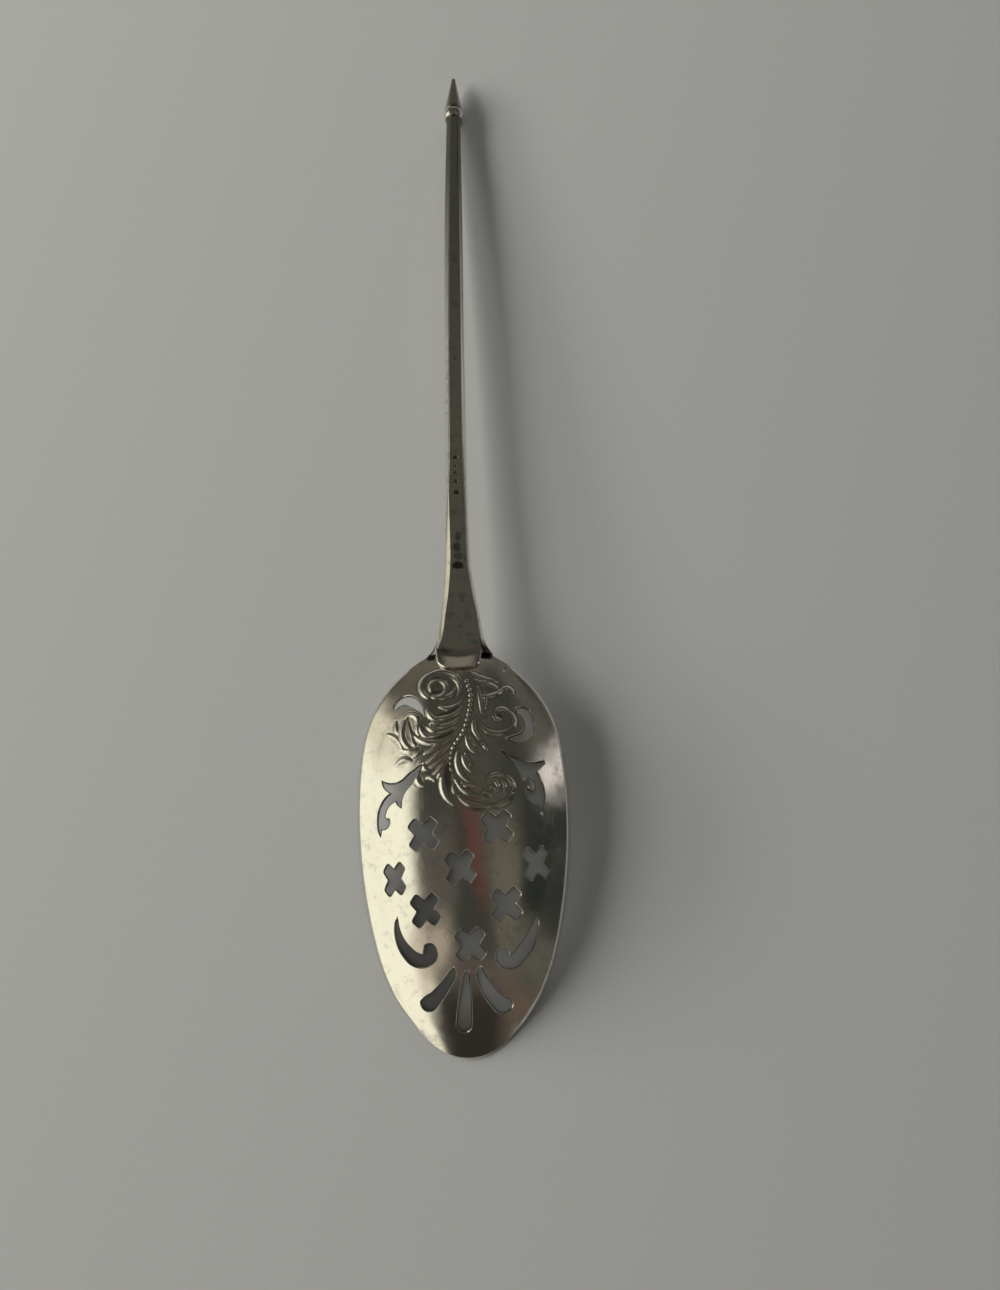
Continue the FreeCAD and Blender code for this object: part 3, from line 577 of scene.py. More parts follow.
# near the rim the sides are flatter than the round section: left and right
EDGE_REACH = 2.4
EDGE_ROWS = (0.24, 0.38, 0.52, 0.7, 0.9, 1.15, 1.5, 1.95, 2.4)
SIDE_LIFT = (0.62, 0.55)
WORN_WIDTH = (0.45, 0.5)
WORN_DEPTH = (0.35, 0.45)


def inside(points, ring):
    """Which points lie inside a closed outline."""
    found = np.zeros(len(points), bool)
    x, y = points[:, 0], points[:, 1]
    for (ax, ay), (bx, by) in zip(ring, np.roll(ring, -1, axis=0)):
        if ay != by:
            crosses = (ay > y) != (by > y)
            found ^= crosses & (x < (bx - ax) * (y - ay) / (by - ay) + ax)
    return found


def spread(low, high, spacing):
    """Evenly spread points over a rectangle."""
    rows = np.arange(low[1], high[1], spacing * 0.866)
    columns = np.arange(low[0], high[0], spacing)
    return np.array(
        [(x + (index % 2) * spacing / 2, y) for index, y in enumerate(rows) for x in columns]
    )


def skin(edge, openings, seeds):
    """A flat sheet of triangles inside the edge and outside the openings: its points, its
    triangles, and where each ring's points went."""
    rings = [edge, *openings]
    ring_points = np.vstack(rings)
    tree = KDTree(len(ring_points))
    for index, point in enumerate(ring_points):
        tree.insert((*point, 0), index)
    tree.balance()
    seeds = seeds[inside(seeds, edge)]
    for opening in openings:
        seeds = seeds[~inside(seeds, opening)]
    clear = [tree.find((*seed, 0))[2] > SEED_CLEARANCE for seed in seeds]
    seeds = seeds[clear]
    points = [Vector(point) for point in np.vstack([ring_points, seeds])]
    numbers = []
    for ring in rings:
        start = sum(map(len, numbers))
        numbers.append(list(range(start, start + len(ring))))
    sides = [pair for run in numbers for pair in zip(run, run[1:] + run[:1])]
    out_points, _, faces, origins, _, _ = delaunay_2d_cdt(points, sides, [], 0, 1e-7)
    flat = np.array([tuple(point) for point in out_points])
    faces = np.array([face for face in faces if len(face) == 3])
    middles = flat[faces].mean(axis=1)
    keep = inside(middles, edge)
    for opening in openings:
        keep &= ~inside(middles, opening)
    went = {}
    for index, sources in enumerate(origins):
        for source in sources:
            went[source] = index
    return flat, faces[keep], [[went[number] for number in run] for run in numbers]


def strip(first, second):
    """Faces between two rings with the same number of points."""
    count = len(first)
    faces = []
    for index in range(count):
        after = (index + 1) % count
        face = (first[index], first[after], second[after], second[index])
        face = tuple(dict.fromkeys(face))
        if len(face) > 2:
            faces.append(face)
    return faces


right_side = np.array(outline_side(0.3))
left_side = right_side[:0:-1] * (-1, 1)
rim_ring = np.vstack([right_side, [(3.5, 46.6), (-3.5, 46.6)], left_side])
rim_ring = counter_clockwise(filled_in(rim_ring, 0.4))
top_edge = moved_outward(rim_ring, -RIM_BEVEL)
hole_tops = [moved_outward(hole, HOLE_BEVEL) for hole in holes]
leaf_seeds = spread(*LEAF_CORNERS, LEAF_SPACING)
raised, sunk = chasing(leaf_seeds)
leaf_seeds = leaf_seeds[(raised > 0) | (sunk > 0) | (knocked(leaf_seeds) > 0)]
plain_seeds = spread(*BOWL_CORNERS, PLAIN_SPACING)
plain_raised, plain_sunk = chasing(plain_seeds)
plain_seeds = plain_seeds[(plain_raised == 0) & (plain_sunk == 0)]
plain_seeds = plain_seeds[inside(plain_seeds, moved_outward(rim_ring, -EDGE_REACH - 0.3))]
edge_seeds = [moved_outward(rim_ring, -row) for row in EDGE_ROWS]
outer_flat, outer_faces, outer_places = skin(
    top_edge, hole_tops, np.vstack([leaf_seeds, plain_seeds, *edge_seeds])
)
raised, sunk = chasing(outer_flat)


def flatter_sides(points, to_edge):
    """How far the back stands above its round section near the rim, which wear has rounded over."""
    on_left = points[:, 0] < 0
    lift = np.where(on_left, *SIDE_LIFT) * ramp(to_edge, EDGE_REACH, 0) ** 2
    worn = np.where(on_left, *WORN_DEPTH) * ramp(to_edge, np.where(on_left, *WORN_WIDTH), 0) ** 2
    at_side = ramp(np.abs(points[:, 0]), 5.5, 8.5)
    return at_side * (lift - worn)


to_edge = from_line(outer_flat, np.vstack([rim_ring, rim_ring[:1]]))[0]
outer_heights = back_height(outer_flat) + flatter_sides(outer_flat, to_edge)
outer_heights += raised - sunk - knocked(outer_flat)

# where the inner skin comes down to the rim, found by halving
inward = rim_ring - moved_outward(rim_ring, 1.0)
near, far = np.full(len(rim_ring), 0.05), np.full(len(rim_ring), 1.6)
for _ in range(20):
    middle = (near + far) / 2
    at = rim_ring + inward * middle[:, None]
    above = back_height(at, WALL) > rim_height(at[:, 1])
    far = np.where(above, middle, far)
    near = np.where(above, near, middle)
lip = rim_ring + inward * far[:, None]
inner_flat, inner_faces, inner_places = skin(lip, holes, spread(*BOWL_CORNERS, INNER_SPACING))
inner_heights = np.maximum(back_height(inner_flat, WALL), rim_height(inner_flat[:, 1]))

bowl_points = [
    np.column_stack([outer_flat, outer_heights]),
    np.column_stack([inner_flat, inner_heights]),
]
inner_start = len(outer_flat)
bowl_faces = [tuple(face) for face in outer_faces]
bowl_faces += [tuple(face[::-1] + inner_start) for face in inner_faces]


def add_ring(points):
    """More points for the bowl, and their numbers."""
    start = sum(map(len, bowl_points))
    bowl_points.append(points)
    return list(range(start, start + len(points)))


# the points of the sawn walls of the holes, which get painted shade
shaded_walls = []
for hole, top, bottom in zip(holes, outer_places[1:], inner_places[1:]):
    heights = back_height(hole) - HOLE_BEVEL
    shoulder = add_ring(np.column_stack([hole, heights]))
    wall_top = add_ring(np.column_stack([hole, heights - WALL_TOP_DROP]))
    wall_foot = [place + inner_start for place in bottom]
    shaded_walls += wall_top + wall_foot
    bowl_faces += strip(top, shoulder) + strip(shoulder, wall_top) + strip(wall_top, wall_foot)

floor_of_rim = rim_height(rim_ring[:, 1])
edge_back = back_height(rim_ring) + flatter_sides(rim_ring, np.zeros(len(rim_ring)))
band_top = np.maximum(edge_back - RIM_BEVEL, floor_of_rim + THINNEST_RIM)
edge_high = add_ring(np.column_stack([rim_ring, band_top]))
edge_low = add_ring(np.column_stack([rim_ring, floor_of_rim + RIM_ARRIS]))
under = moved_outward(rim_ring, -RIM_ARRIS)
edge_under = add_ring(np.column_stack([under, rim_height(under[:, 1])]))
bowl_faces += strip(edge_high, outer_places[0])
bowl_faces += strip(edge_low, edge_high)
bowl_faces += strip(edge_under, edge_low)
bowl_faces += strip([place + inner_start for place in inner_places[0]], edge_under)


def made(name, points, faces, tarnish, sharp=35):
    """An object of the spoon from its points and faces, with how dark the tarnish and painted shade
    lie.
    """
    mesh = bpy.data.meshes.new(name)
    mesh.from_pydata([tuple(point) for point in in_plan(points)], [], faces)
    mesh.validate()
    mesh.update()
    mesh.shade_smooth()
    mesh.set_sharp_from_angle(angle=math.radians(sharp))
    # the tarnish attribute also holds painted shade on the bowl and the drop
    darkness = mesh.attributes.new("tarnish", "FLOAT", "POINT")
    darkness.data.foreach_set("value", np.asarray(tarnish, np.float32))
    piece = bpy.data.objects.new(name, mesh)
    bpy.context.scene.collection.objects.link(piece)
    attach(piece, "root")
    return piece


bowl_points = np.vstack(bowl_points)
bowl_tarnish_and_shade = np.zeros(len(bowl_points))
bowl_tarnish_and_shade[: len(outer_flat)] = 0.7 * np.clip(sunk / SUNK_LINE_DEPTH, 0, 1)
# painted shade in the corners beside the heel, where the stem's flare laps over the rim
shaded_heel_corners = (np.abs(np.abs(bowl_points[:, 0]) - 3.4) < 0.5) & (bowl_points[:, 1] > 45.6)
bowl_tarnish_and_shade[shaded_heel_corners] = 1.0
# painted shade on the sawn walls of the holes and round their feet on the inner skin
bowl_tarnish_and_shade[shaded_walls] = 0.95
bowl = made("bowl", bowl_points, bowl_faces, bowl_tarnish_and_shade, sharp=60)
# the filed edges stay crisp
filed_edges = set()
for ring in [*outer_places, edge_high, edge_low]:
    filed_edges.update(frozenset(pair) for pair in zip(ring, ring[1:] + ring[:1]))
for edge in bowl.data.edges:
    if frozenset(edge.vertices) in filed_edges:
        edge.use_edge_sharp = True
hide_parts("mote_spoon")


# The silver
# Sterling silver, long polished by hand: a warm white metal with fine scratches in all
# directions, a few deeper ones, soft smudges, and brown-black tarnish where no cloth reaches. The
# same dark colour paints shade on the walls of the holes, beside the heel and along the drop's
# crease.


def linear(code):
    """An sRGB hex colour as linear numbers."""
    channels = [int(code[place : place + 2], 16) / 255 for place in (0, 2, 4)]
    return [c / 12.92 if c <= 0.04045 else ((c + 0.055) / 1.055) ** 2.4 for c in channels] + [1.0]


def node(tree, kind, settings=None, **links):
    """A shader node with its settings, and its inputs set or linked by name or number."""
    made_node = tree.nodes.new("ShaderNode" + kind)
    for name, value in (settings or {}).items():
        setattr(made_node, name, value)
    for name, value in links.items():
        socket = made_node.inputs[int(name[1:]) if name[1:].isdigit() else name.replace("_", " ")]
        if isinstance(value, bpy.types.NodeSocket):
            tree.links.new(value, socket)
        else:
            socket.default_value = value
    return made_node


def bare_material(name):
    """A new material, its empty tree, and the place on the object in metres."""
    material = bpy.data.materials.new(name)
    material.use_nodes = True
    tree = material.node_tree
    tree.nodes.clear()
    return material, tree, node(tree, "TexCoord").outputs["Object"]


def sterling_silver(name, film):
    """Hand-polished sterling with scratches, smudges and a tarnish film up to a given darkness."""
    material, tree, place = bare_material(name)
    millimetres = node(
        tree, "VectorMath", {"operation": "SCALE"}, _0=place, Scale=1000.0
    ).outputs["Vector"]

    # polishing smudges, 4 mm wide, and mottled tarnish film, 1.2 mm wide
    smudges, mottle = (
        node(
            tree,
            "TexNoise",
            Vector=millimetres,
            Scale=1 / width,
            Detail=detail,
            Roughness=roughness,
        ).outputs["Fac"]
        for width, detail, roughness in ((4.0, 3.0, 0.6), (1.2, 6.0, 0.65))
    )

    # fine scratches 0.08 mm wide, drawn twice as coarse as real ones so that they show
    def scratches(turn, width, length, threshold):
        stretched = node(
            tree,
            "Mapping",
            Vector=millimetres,
            Rotation=(0, 0, math.radians(turn)),
            Scale=(1 / width, 1 / length, 1 / width),
        ).outputs["Vector"]
        grain = node(
            tree, "TexNoise", Vector=stretched, Scale=1.0, Detail=2.0, Roughness=0.5
        ).outputs["Fac"]
        return node(
            tree,
            "MapRange",
            {"interpolation_type": "SMOOTHSTEP"},
            Value=grain,
            From_Min=threshold,
            From_Max=threshold + 0.12,
        ).outputs["Result"]

    lengthwise = scratches(8, 0.08, 3.0, 0.56)
    slanting = scratches(52, 0.07, 2.4, 0.6)
    crossing = scratches(-37, 0.09, 2.8, 0.62)
    pair = node(tree, "Math", {"operation": "MAXIMUM"}, _0=lengthwise, _1=slanting)
    scratched = node(
        tree, "Math", {"operation": "MAXIMUM"}, _0=pair.outputs[0], _1=crossing
    ).outputs[0]

    # tarnish in the sunk lines and as a thin film in patches, and painted shade on the walls of the
    # holes, beside the heel and along the drop's crease
    tarnish_and_painted_shade = node(tree, "Attribute", {"attribute_name": "tarnish"}).outputs["Fac"]
    patches = node(
        tree,
        "MapRange",
        {"interpolation_type": "SMOOTHSTEP"},
        Value=mottle,
        From_Min=0.5,
        From_Max=0.75,
        To_Max=film,
    ).outputs["Result"]
    dark = node(tree, "Math", {"operation": "MAXIMUM"}, _0=tarnish_and_painted_shade, _1=patches).outputs[0]

    colour = node(
        tree, "Mix", {"data_type": "RGBA"}, Factor=dark, _6=linear("f3f0e9"), _7=linear("4b433b")
    ).outputs[2]
    polish = node(
        tree, "MapRange", Value=smudges, From_Min=0.3, From_Max=0.7, To_Min=0.09, To_Max=0.17
    ).outputs["Result"]
    worn = node(
        tree, "Math", {"operation": "MULTIPLY_ADD"}, _0=scratched, _1=0.06, _2=polish
    ).outputs[0]
    rough = node(tree, "Math", {"operation": "MULTIPLY_ADD"}, _0=dark, _1=0.3, _2=worn).outputs[0]

    # soft unevenness left by the hammer, 3 mm wide, under the scratches
    hammered = node(tree, "TexNoise", Vector=millimetres, Scale=1 / 3.0, Detail=1.0).outputs["Fac"]
    uneven = node(tree, "Bump", Strength=0.2, Distance=0.0002, Height=hammered).outputs["Normal"]
    relief = node(
        tree,
        "Bump",
        {"invert": True},
        Strength=0.05,
        Distance=0.00002,
        Height=scratched,
        Normal=uneven,
    ).outputs["Normal"]

    shader = node(
        tree, "BsdfPrincipled", Base_Color=colour, Metallic=1.0, Roughness=rough, Normal=relief
    ).outputs["BSDF"]
    node(tree, "OutputMaterial", Surface=shader)
    return material


silver = sterling_silver("polished_silver", film=0.24)
bowl.data.materials.append(silver)


# The stem
# Forged from one bar, flat along its back, with a filed bevel down each edge. It flares into the
# shoulders of the bowl, and leans a little to the right at its top. Long use has left blank dents
# in its back and a darker film than on the bowl.

STEM_START = 46.3
STEM_END = 128.0
STEM_HEEL = 46.6
STEM_RUN = STEM_END - STEM_HEEL
INTO_FINIAL = 0.3
STEM_WIDTHS = [
    (46.3, 7.42),
    (46.9, 6.58),
    (48.2, 5.38),
    (49.5, 4.90),
    (52.1, 4.16),
    (54.7, 3.58),
    (57.4, 3.19),
    (62.8, 2.91),
    (66.8, 2.75),
    (75.4, 2.68),
    (89.4, 2.60),
    (103.2, 2.54),
    (113.3, 2.42),
    (120.2, 2.20),
    (128.0, 1.95),
]
FLAT_BACKS = [
    (46.3, 5.80),
    (47.0, 5.35),
    (47.8, 4.73),
    (50.5, 3.72),
    (53.0, 3.07),
    (57.0, 2.30),
    (62.5, 2.01),
    (66.6, 1.91),
    (71.0, 1.60),
    (81.0, 1.38),
    (100.0, 1.20),
    (115.0, 1.00),
    (128.0, 0.80),
]
HEEL_BACK = 5.4
NECK_BACK = 2.37
BACK_ARCH = 0.45
HEEL_THICKNESS = 1.4
STEM_THICKNESS = 1.9
SHOULDER = 1.15
FRONT_BEVEL = 0.45
UNDER_DROP = 0.06
CORNER_ROUNDING = 0.16
STEM_LEAN = 0.8
BACK_STEPS = 16
# worn dents along the back: middle, half sizes across and along, and depth
DENTS = [
    (0.13, 57.65, 0.92, 0.66, 0.11),
    (0.16, 58.90, 0.70, 0.60, 0.06),
    (0.00, 60.10, 0.62, 0.75, 0.075),
    (0.20, 61.50, 0.50, 0.70, 0.065),
    (0.12, 67.55, 0.46, 0.46, 0.09),
    (0.08, 69.10, 0.30, 0.42, 0.08),
    (0.06, 70.30, 0.28, 0.30, 0.08),
    (0.04, 71.20, 0.26, 0.26, 0.08),
    (0.06, 72.45, 0.42, 0.38, 0.09),
]

stem_width = curve_through(*zip(*STEM_WIDTHS))
flat_back = curve_through(*zip(*FLAT_BACKS))


def stem_back(from_tip):
    """Height of the stem's flat back: a slight arch from the heel down to the finial."""
    share = (from_tip - STEM_HEEL) / STEM_RUN
    arch = BACK_ARCH * 4 * max(share, 0) * (1 - share)
    return HEEL_BACK + share * (NECK_BACK - HEEL_BACK) + arch


def across_back(ring):
    """The same ring with more points across the flat back, which holds the dents."""
    shares = np.linspace(0, 1, BACK_STEPS + 1)[1:-1, None]
    return np.vstack([ring, ring[-1] + shares * (ring[0] - ring[-1])])


def dented(points):
    """How deep the blank worn dents of the stem are at each point."""
    deep = np.zeros(len(points))
    on_back = points[:, 2] > [stem_back(from_tip) - 0.2 for from_tip in points[:, 1]]
    for across, from_tip, half_across, half_along, depth in DENTS:
        away = ((points[:, 0] - across) / half_across) ** 2
        away += ((points[:, 1] - from_tip) / half_along) ** 2
        deep = np.maximum(deep, on_back * depth * np.clip(1.5 - 1.5 * away, 0, 1))
    return deep


def stem_section(from_tip):
    """One cross section: an octagon with worn corners."""
    share = (from_tip - STEM_HEEL) / STEM_RUN
    thickness = HEEL_THICKNESS + (STEM_THICKNESS - HEEL_THICKNESS) * ramp(share, 0, 0.25)
    back = stem_back(from_tip)
    front = back - thickness
    half = float(stem_width(from_tip)) / 2
    flat = min(float(flat_back(from_tip)) / 2, half - 0.2)
    bevel = min(max(half - flat, SHOULDER * ramp(from_tip, 49.5, 46.3)), thickness - 0.2)
    sink = UNDER_DROP * ramp(from_tip, 47.1, 46.7)
    back, front = back - sink, min(front, back - bevel - 0.2)
    lower = min(FRONT_BEVEL, (thickness - bevel) * 0.6)
    # the right is fuller at the heel, the flat drifts to the right, and the left bevel is wider
    fuller = 0.35 * ramp(from_tip, 58, 52)
    aside = 0.25 * ramp(share, 0.3, 0.6)
    narrower = 0.25 * ramp(abs(from_tip - 56), 11.7, 2.7)
    corners = [
        (flat + fuller + aside, back),
        (half + fuller, back - bevel),
        (half + fuller, front + lower),
        (half + fuller - lower, front),
        (lower - half, front),
        (-half, front + lower),
        (-half, back - bevel),
        (narrower - flat, back),
    ]
    ring = across_back(rounded_corners(corners, [CORNER_ROUNDING] * 8, steps=3))
    lean = STEM_LEAN * max(share, 0) ** 2
    return np.column_stack([ring[:, 0] + lean, np.full(len(ring), from_tip), ring[:, 1]])


# sections close together at the shoulders, and closest along the dents
stem_stations = np.concatenate(
    [np.arange(STEM_START, 56, 0.2), np.arange(56, 73.5, 0.08), np.arange(73.5, STEM_END, 0.5)]
)
stem_stations = np.append(stem_stations, STEM_END + INTO_FINIAL)
stem_rings = [stem_section(min(station, STEM_END)) for station in stem_stations]
stem_rings[-1][:, 1] = STEM_END + INTO_FINIAL
ring_size = len(stem_rings[0])
stem_faces = []
for index in range(len(stem_rings) - 1):
    lower = list(range(index * ring_size, (index + 1) * ring_size))
    upper = [number + ring_size for number in lower]
    stem_faces += strip(upper, lower)
stem_faces += [tuple(range(ring_size)), tuple(upper[::-1])]
stem_points = np.vstack(stem_rings)
stem_dents = dented(stem_points)
stem_points[:, 2] -= stem_dents
from_tips = stem_points[:, 1]
off_middle = np.abs(stem_points[:, 0] - STEM_LEAN * ramp(from_tips, STEM_HEEL, STEM_END) ** 2)
beyond_flat = off_middle > flat_back(from_tips) / 2 + 0.1
on_bevels = ramp(from_tips, 48.2, 47.0) + 0.8 * ramp(from_tips, 88, 120)
stem_tarnish = np.maximum(on_bevels * beyond_flat, 0.9 * ramp(stem_dents, 0.009, 0.099))
stem = made("stem", stem_points, stem_faces, stem_tarnish, sharp=50)

# the same silver where fingers hold it, with a darker film
handled_silver = sterling_silver("handled_silver", film=0.4)
stem.data.materials.append(handled_silver)


# The drop
# A rounded tab where the stem laps onto the back of the bowl, soldered all round. Its edge is
# filed to a bevel, and tarnish has settled in the joint.

DROP_OUTLINE = [
    [(-2.95, 47.10)],
    [(-2.69, 45.20)],
    [(-2.28, 44.68), (-1.14, 44.34)],
    [(0.30, 44.23), (1.51, 44.35)],
    [(2.32, 44.72), (2.58, 45.35)],
    [(2.78, 47.10)],
]
DROP_BEVEL = 0.16
CREASE_CURVE = 0.11


def crease(points):
    """How far each point lies past the curved crease, where the flat back turns up the bowl."""
    past = 45.95 + CREASE_CURVE * points[:, 0] ** 2 - points[:, 1]
    return (past + np.sqrt(past**2 + 0.15**2)) / 2


def drop_height(points):
    """The tab is level with the stem's back at the heel, then climbs the back of the bowl."""
    level = np.array([stem_back(from_tip) for from_tip in points[:, 1]])
    climb = 0.52 * (1 - 0.08 * points[:, 0] ** 2)
    return level + climb * crease(points) - 0.04 * ramp(points[:, 1], 46.7, 47.1)


drop_ring = counter_clockwise(sawn(DROP_OUTLINE, step=0.2))
drop_top = moved_outward(drop_ring, -DROP_BEVEL)
drop_flat, drop_faces, drop_places = skin(drop_top, [], spread((-3, 44), (3, 48), 0.3))
drop_points = np.vstack(
    [
        np.column_stack([drop_flat, drop_height(drop_flat)]),
        np.column_stack([drop_ring, drop_height(drop_ring) - DROP_BEVEL * 0.8]),
        np.column_stack([drop_ring, back_height(drop_ring) - 0.2]),
    ]
)
drop_side = list(range(len(drop_flat), len(drop_flat) + len(drop_ring)))
drop_foot = [number + len(drop_ring) for number in drop_side]
drop_faces = [tuple(face) for face in drop_faces]
drop_faces += strip(drop_side, drop_places[0]) + strip(drop_foot, drop_side)
drop_faces.append(tuple(drop_foot[::-1]))
# painted shade in a band along the crease; tarnish in a patch to the left and in the joint
from_shaded_crease = (drop_points[:, 1] - 46.3 - CREASE_CURVE * drop_points[:, 0] ** 2) / 0.35
to_the_left = (drop_points[:, :2] - (-1.9, 46.7)) / (1.0, 0.5)
drop_tarnish_and_shade = 0.35 * np.exp(-(from_shaded_crease**2))
drop_tarnish_and_shade += 0.5 * np.exp(-np.sum(to_the_left**2, axis=1))
drop_tarnish_and_shade[drop_foot] = 0.9
drop = made("drop", drop_points, drop_faces, drop_tarnish_and_shade, sharp=30)
drop.data.materials.append(handled_silver)


# The finial
# Turned from the same bar: a rounded ring, then a plain cone that ends in a worn point. The
# point clears a teapot's spout.

FINIAL_HEIGHT = 1.42
FINIAL_PROFILE = [
    (0.88, 127.7),
    (0.95, 128.0),
    (1.10, 128.02),
    (1.27, 128.13),
    (1.38, 128.38),
    (1.42, 128.77),
    (1.38, 129.17),
    (1.27, 129.42),
    (1.15, 129.52),
    (1.13, 129.58),
    (1.24, 129.62),
    (1.28, 129.70),
    (1.25, 129.9),
    (1.01, 131.2),
    (0.77, 132.5),
    (0.54, 133.8),
    (0.36, 134.8),
    (0.29, 135.2),
    (0.24, 135.38),
    (0.14, 135.47),
    (0.0, 135.5),
]
FINIAL_SIDES = 48
FINIAL_LEAN = 0.02

finial_points, finial_faces = [], []
for radius, from_tip in FINIAL_PROFILE:
    middle = STEM_LEAN + FINIAL_LEAN * (from_tip - STEM_END)
    for turn in np.linspace(0, 2 * math.pi, FINIAL_SIDES if radius else 1, endpoint=False):
        finial_points.append(
            (middle + radius * math.cos(turn), from_tip, FINIAL_HEIGHT + radius * math.sin(turn))
        )
for index in range(len(FINIAL_PROFILE) - 2):
    lower = list(range(index * FINIAL_SIDES, (index + 1) * FINIAL_SIDES))
    upper = [number + FINIAL_SIDES for number in lower]
    finial_faces += strip(lower, upper)
finial_faces += strip(upper, [len(finial_points) - 1] * FINIAL_SIDES)
finial_faces.append(tuple(range(FINIAL_SIDES - 1, -1, -1)))
finial_points = np.array(finial_points)
from_tips = finial_points[:, 1]
on_cone = 0.55 * (from_tips > 129.6)
in_groove = 0.9 * (np.abs(from_tips - 129.55) < 0.06)
at_neck = 0.7 * (from_tips < 128.1)
finial_tarnish = np.maximum(np.maximum(on_cone, in_groove), at_neck)
finial = made("finial", finial_points, finial_faces, finial_tarnish, sharp=60)
finial.data.materials.append(handled_silver)


# The table
# The spoon lies on a plain sheet of pale grey card, uncoated, so it is matt with a faint grain of
# fibres. It isn't part of the spoon.

CARD_SIZE = 0.9
bpy.ops.mesh.primitive_plane_add(size=CARD_SIZE, location=(0, 0, 0))
table = bpy.context.object
table.name = "table_card"


def grey_card():
    """Matt paper, with fibres 0.5 mm wide."""
    material, tree, place = bare_material("grey_card")
    fibres = node(tree, "TexNoise", Vector=place, Scale=1 / 0.0005, Detail=3.0).outputs["Fac"]
    colour = node(
        tree, "Mix", {"data_type": "RGBA"}, Factor=fibres, _6=linear("b9b9b6"), _7=linear("bfbfbc")
    ).outputs[2]
    shader = node(tree, "BsdfPrincipled", Base_Color=colour, Roughness=0.75).outputs["BSDF"]
    node(tree, "OutputMaterial", Surface=shader)
    return material


table.data.materials.append(grey_card())


# The light
# A wide low window to the left, a weaker one behind and a soft lamp overhead, in a dim room. Metal
# mirrors the room itself: the pale window, a dark ceiling, a warm strip and a grey wall.

# place and size in metres, and power in watts
LAMPS = [
    ("window", (-0.8, 0.1, 0.41), (0.8, 0.22), 6.9),
    ("lower_pane", (-0.8, 0.1, 0.2), (0.8, 0.12), 4.8),
    ("far_window", (0.1, 0.5, 0.33), (0.5, 0.3), 0.6),
    ("ceiling", (0.0, -0.05, 0.7), (0.1, 0.1), 0.3),
]
for name, place, size, power in LAMPS:
    lamp = bpy.data.lights.new(name, "AREA")
    lamp.shape = "RECTANGLE"
    lamp.size, lamp.size_y = size
    lamp.energy = power
    lamp.color = linear("fffefb")[:3]
    stand = bpy.data.objects.new(name, lamp)
    bpy.context.scene.collection.objects.link(stand)
    stand.location = place
    stand.rotation_euler = (-Vector(place)).to_track_quat("-Z", "Y").to_euler()
    stand.visible_glossy = False

room = bpy.data.worlds.new("room")
bpy.context.scene.world = room
room.use_nodes = True
tree = room.node_tree
tree.nodes.clear()

# what stands round the table, seen from the spoon: degrees from straight up towards the right,
# how far towards the finial (1 is level with the table), soft edges of both, slant, and colour
ROOM = [
    ("wall behind, left", (-130, -42), (0.12, 0.64), 10, 0.1, 0, "78746a"),
    ("picture rail", (-130, -50), (0.68, 1.1), 12, 0.08, 0, "5c584c"),
    ("ceiling", (-24, 30), (0.1, 0.62), 14, 0.1, 0, "474740"),
    ("curtain", (-80, -46), (0.1, 0.46), 7, 0.09, 0, "dcd5bf"),
    ("window", (-122, -46), (-0.78, 0.2), 8, 0.07, 0, "fffde6"),
    ("lower pane", (-122, -68), (-1.1, -0.7), 7, 0.07, 0, "fff9e2"),
    ("light on the sill", (-64, -44), (-0.72, -0.4), 7, 0.07, 0, "ccbfad"),
    ("light on the wall", (-50, -18), (-0.66, -0.4), 9, 0.08, 0, "a89c8c"),
    ("wall in half shade", (-42, -8), (-0.4, -0.04), 8, 0.08, 0, "56524b"),
    ("wall behind, right", (58, 130), (0.2, 1.1), 12, 0.12, 0, "57554e"),
    ("far wall", (-62, 62), (0.86, 1.2), 14, 0.06, 0, "726d64"),
    ("red lampshade", (-2, 11), (-0.36, 0.07), 5, 0.08, 34, "5c3f3a"),
    ("wall on the right", (13, 46), (-0.66, -0.02), 9, 0.2, 34, "625e52"),
    ("dark cupboard", (54, 85), (-0.38, 0.03), 7, 0.06, 0, "2a2d29"),
    ("bright doorway", (66, 84), (0.06, 0.2), 6, 0.06, 0, "dcd5d2"),
    ("chair", (50, 130), (-0.62, -0.38), 10, 0.08, 0, "57554e"),
    ("papers", (-24, 58), (-0.78, -0.6), 14, 0.1, 0, "5a514a"),
    ("armchair", (-58, 62), (-1.1, -0.78), 14, 0.06, 0, "2f2b26"),
    ("cushion", (50, 100), (-0.82, -0.66), 10, 0.06, 0, "5f5246"),
]
direction = node(tree, "TexCoord").outputs["Generated"]
parts = node(tree, "SeparateXYZ", Vector=direction)
angle = node(
    tree, "Math", {"operation": "ARCTAN2"}, _0=parts.outputs["X"], _1=parts.outputs["Z"]
).outputs[0]
degrees = node(tree, "Math", {"operation": "MULTIPLY"}, _0=angle, _1=180 / math.pi).outputs[0]
towards = parts.outputs["Y"]


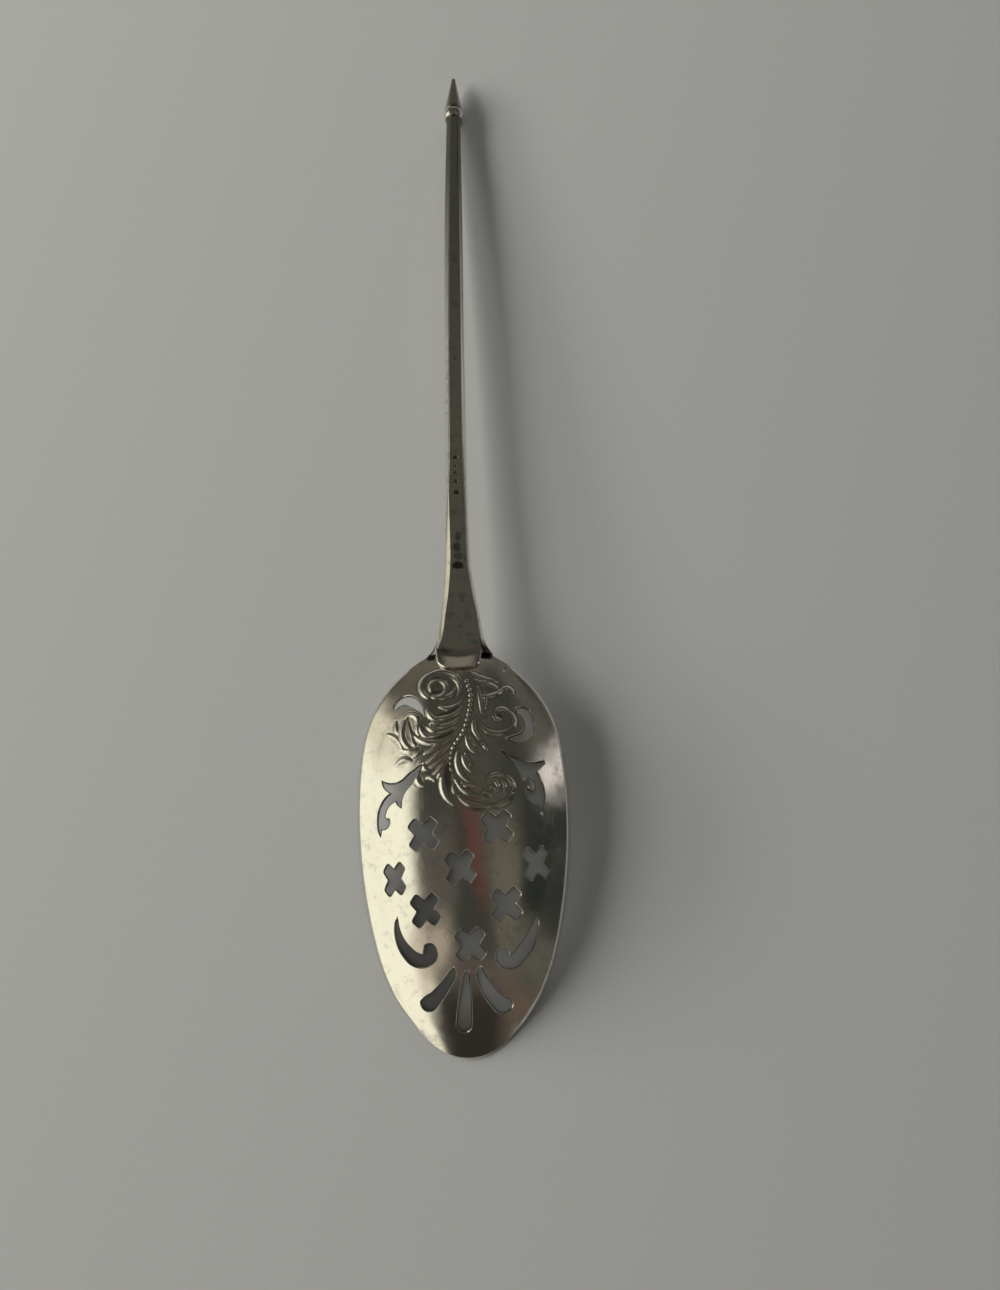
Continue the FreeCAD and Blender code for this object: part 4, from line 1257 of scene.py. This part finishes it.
def between(value, low, high, soft):
    """One between the two ends, with soft edges."""
    middle, half = (low + high) / 2, (high - low) / 2
    offset = node(tree, "Math", {"operation": "SUBTRACT"}, _0=value, _1=middle)
    distance = node(tree, "Math", {"operation": "ABSOLUTE"}, _0=offset.outputs[0])
    return node(
        tree,
        "MapRange",
        {"interpolation_type": "SMOOTHSTEP"},
        Value=distance.outputs[0],
        From_Min=half + soft,
        From_Max=half - soft,
    ).outputs["Result"]


mirrored = linear("3a3b36")
for name, sides, ends, soft_side, soft_end, slant, code in ROOM:
    slanted = node(
        tree, "Math", {"operation": "MULTIPLY_ADD"}, _0=towards, _1=slant, _2=degrees
    ).outputs[0]
    inside_it = node(
        tree,
        "Math",
        {"operation": "MULTIPLY"},
        _0=between(slanted, *sides, soft_side),
        _1=between(towards, *ends, soft_end),
    ).outputs[0]
    mirrored = node(
        tree,
        "Mix",
        {"data_type": "RGBA", "label": name},
        Factor=inside_it,
        _6=mirrored,
        _7=linear(code),
    ).outputs[2]
path = node(tree, "LightPath")
dim_light = node(
    tree,
    "Mix",
    {"data_type": "RGBA"},
    Factor=path.outputs["Is Camera Ray"],
    _6=linear("2f2f2d"),
    _7=linear("a3a39e"),
).outputs[2]
shown = node(
    tree,
    "Mix",
    {"data_type": "RGBA"},
    Factor=path.outputs["Is Glossy Ray"],
    _6=dim_light,
    _7=mirrored,
).outputs[2]
glow = node(tree, "Background", Color=shown, Strength=1.0).outputs["Background"]
node(tree, "OutputWorld", Surface=glow)


# The camera
# Held by hand 12 cm over the spoon, tipped 15 degrees towards the finial and turned by 2, so
# that the spoon leans as in the photograph.

camera_data = bpy.data.cameras.new("camera")
camera_data.sensor_fit = "VERTICAL"
camera_data.sensor_height = 24.0
camera_data.lens = 18.03
camera_data.clip_start = 0.005
camera = bpy.data.objects.new("camera", camera_data)
bpy.context.scene.collection.objects.link(camera)
camera_right = Vector((0.99946, -0.03292, 0.0))
camera_up = Vector((0.0318, 0.9654, 0.2588))
camera_back = camera_right.cross(camera_up)
turn = Matrix((camera_right, camera_up, camera_back)).transposed().to_4x4()
camera.matrix_world = Matrix.Translation(Vector((3.97, -50.97, 118.81)) * MM) @ turn
bpy.context.scene.camera = camera

bpy.context.scene.view_settings.view_transform = "Standard"
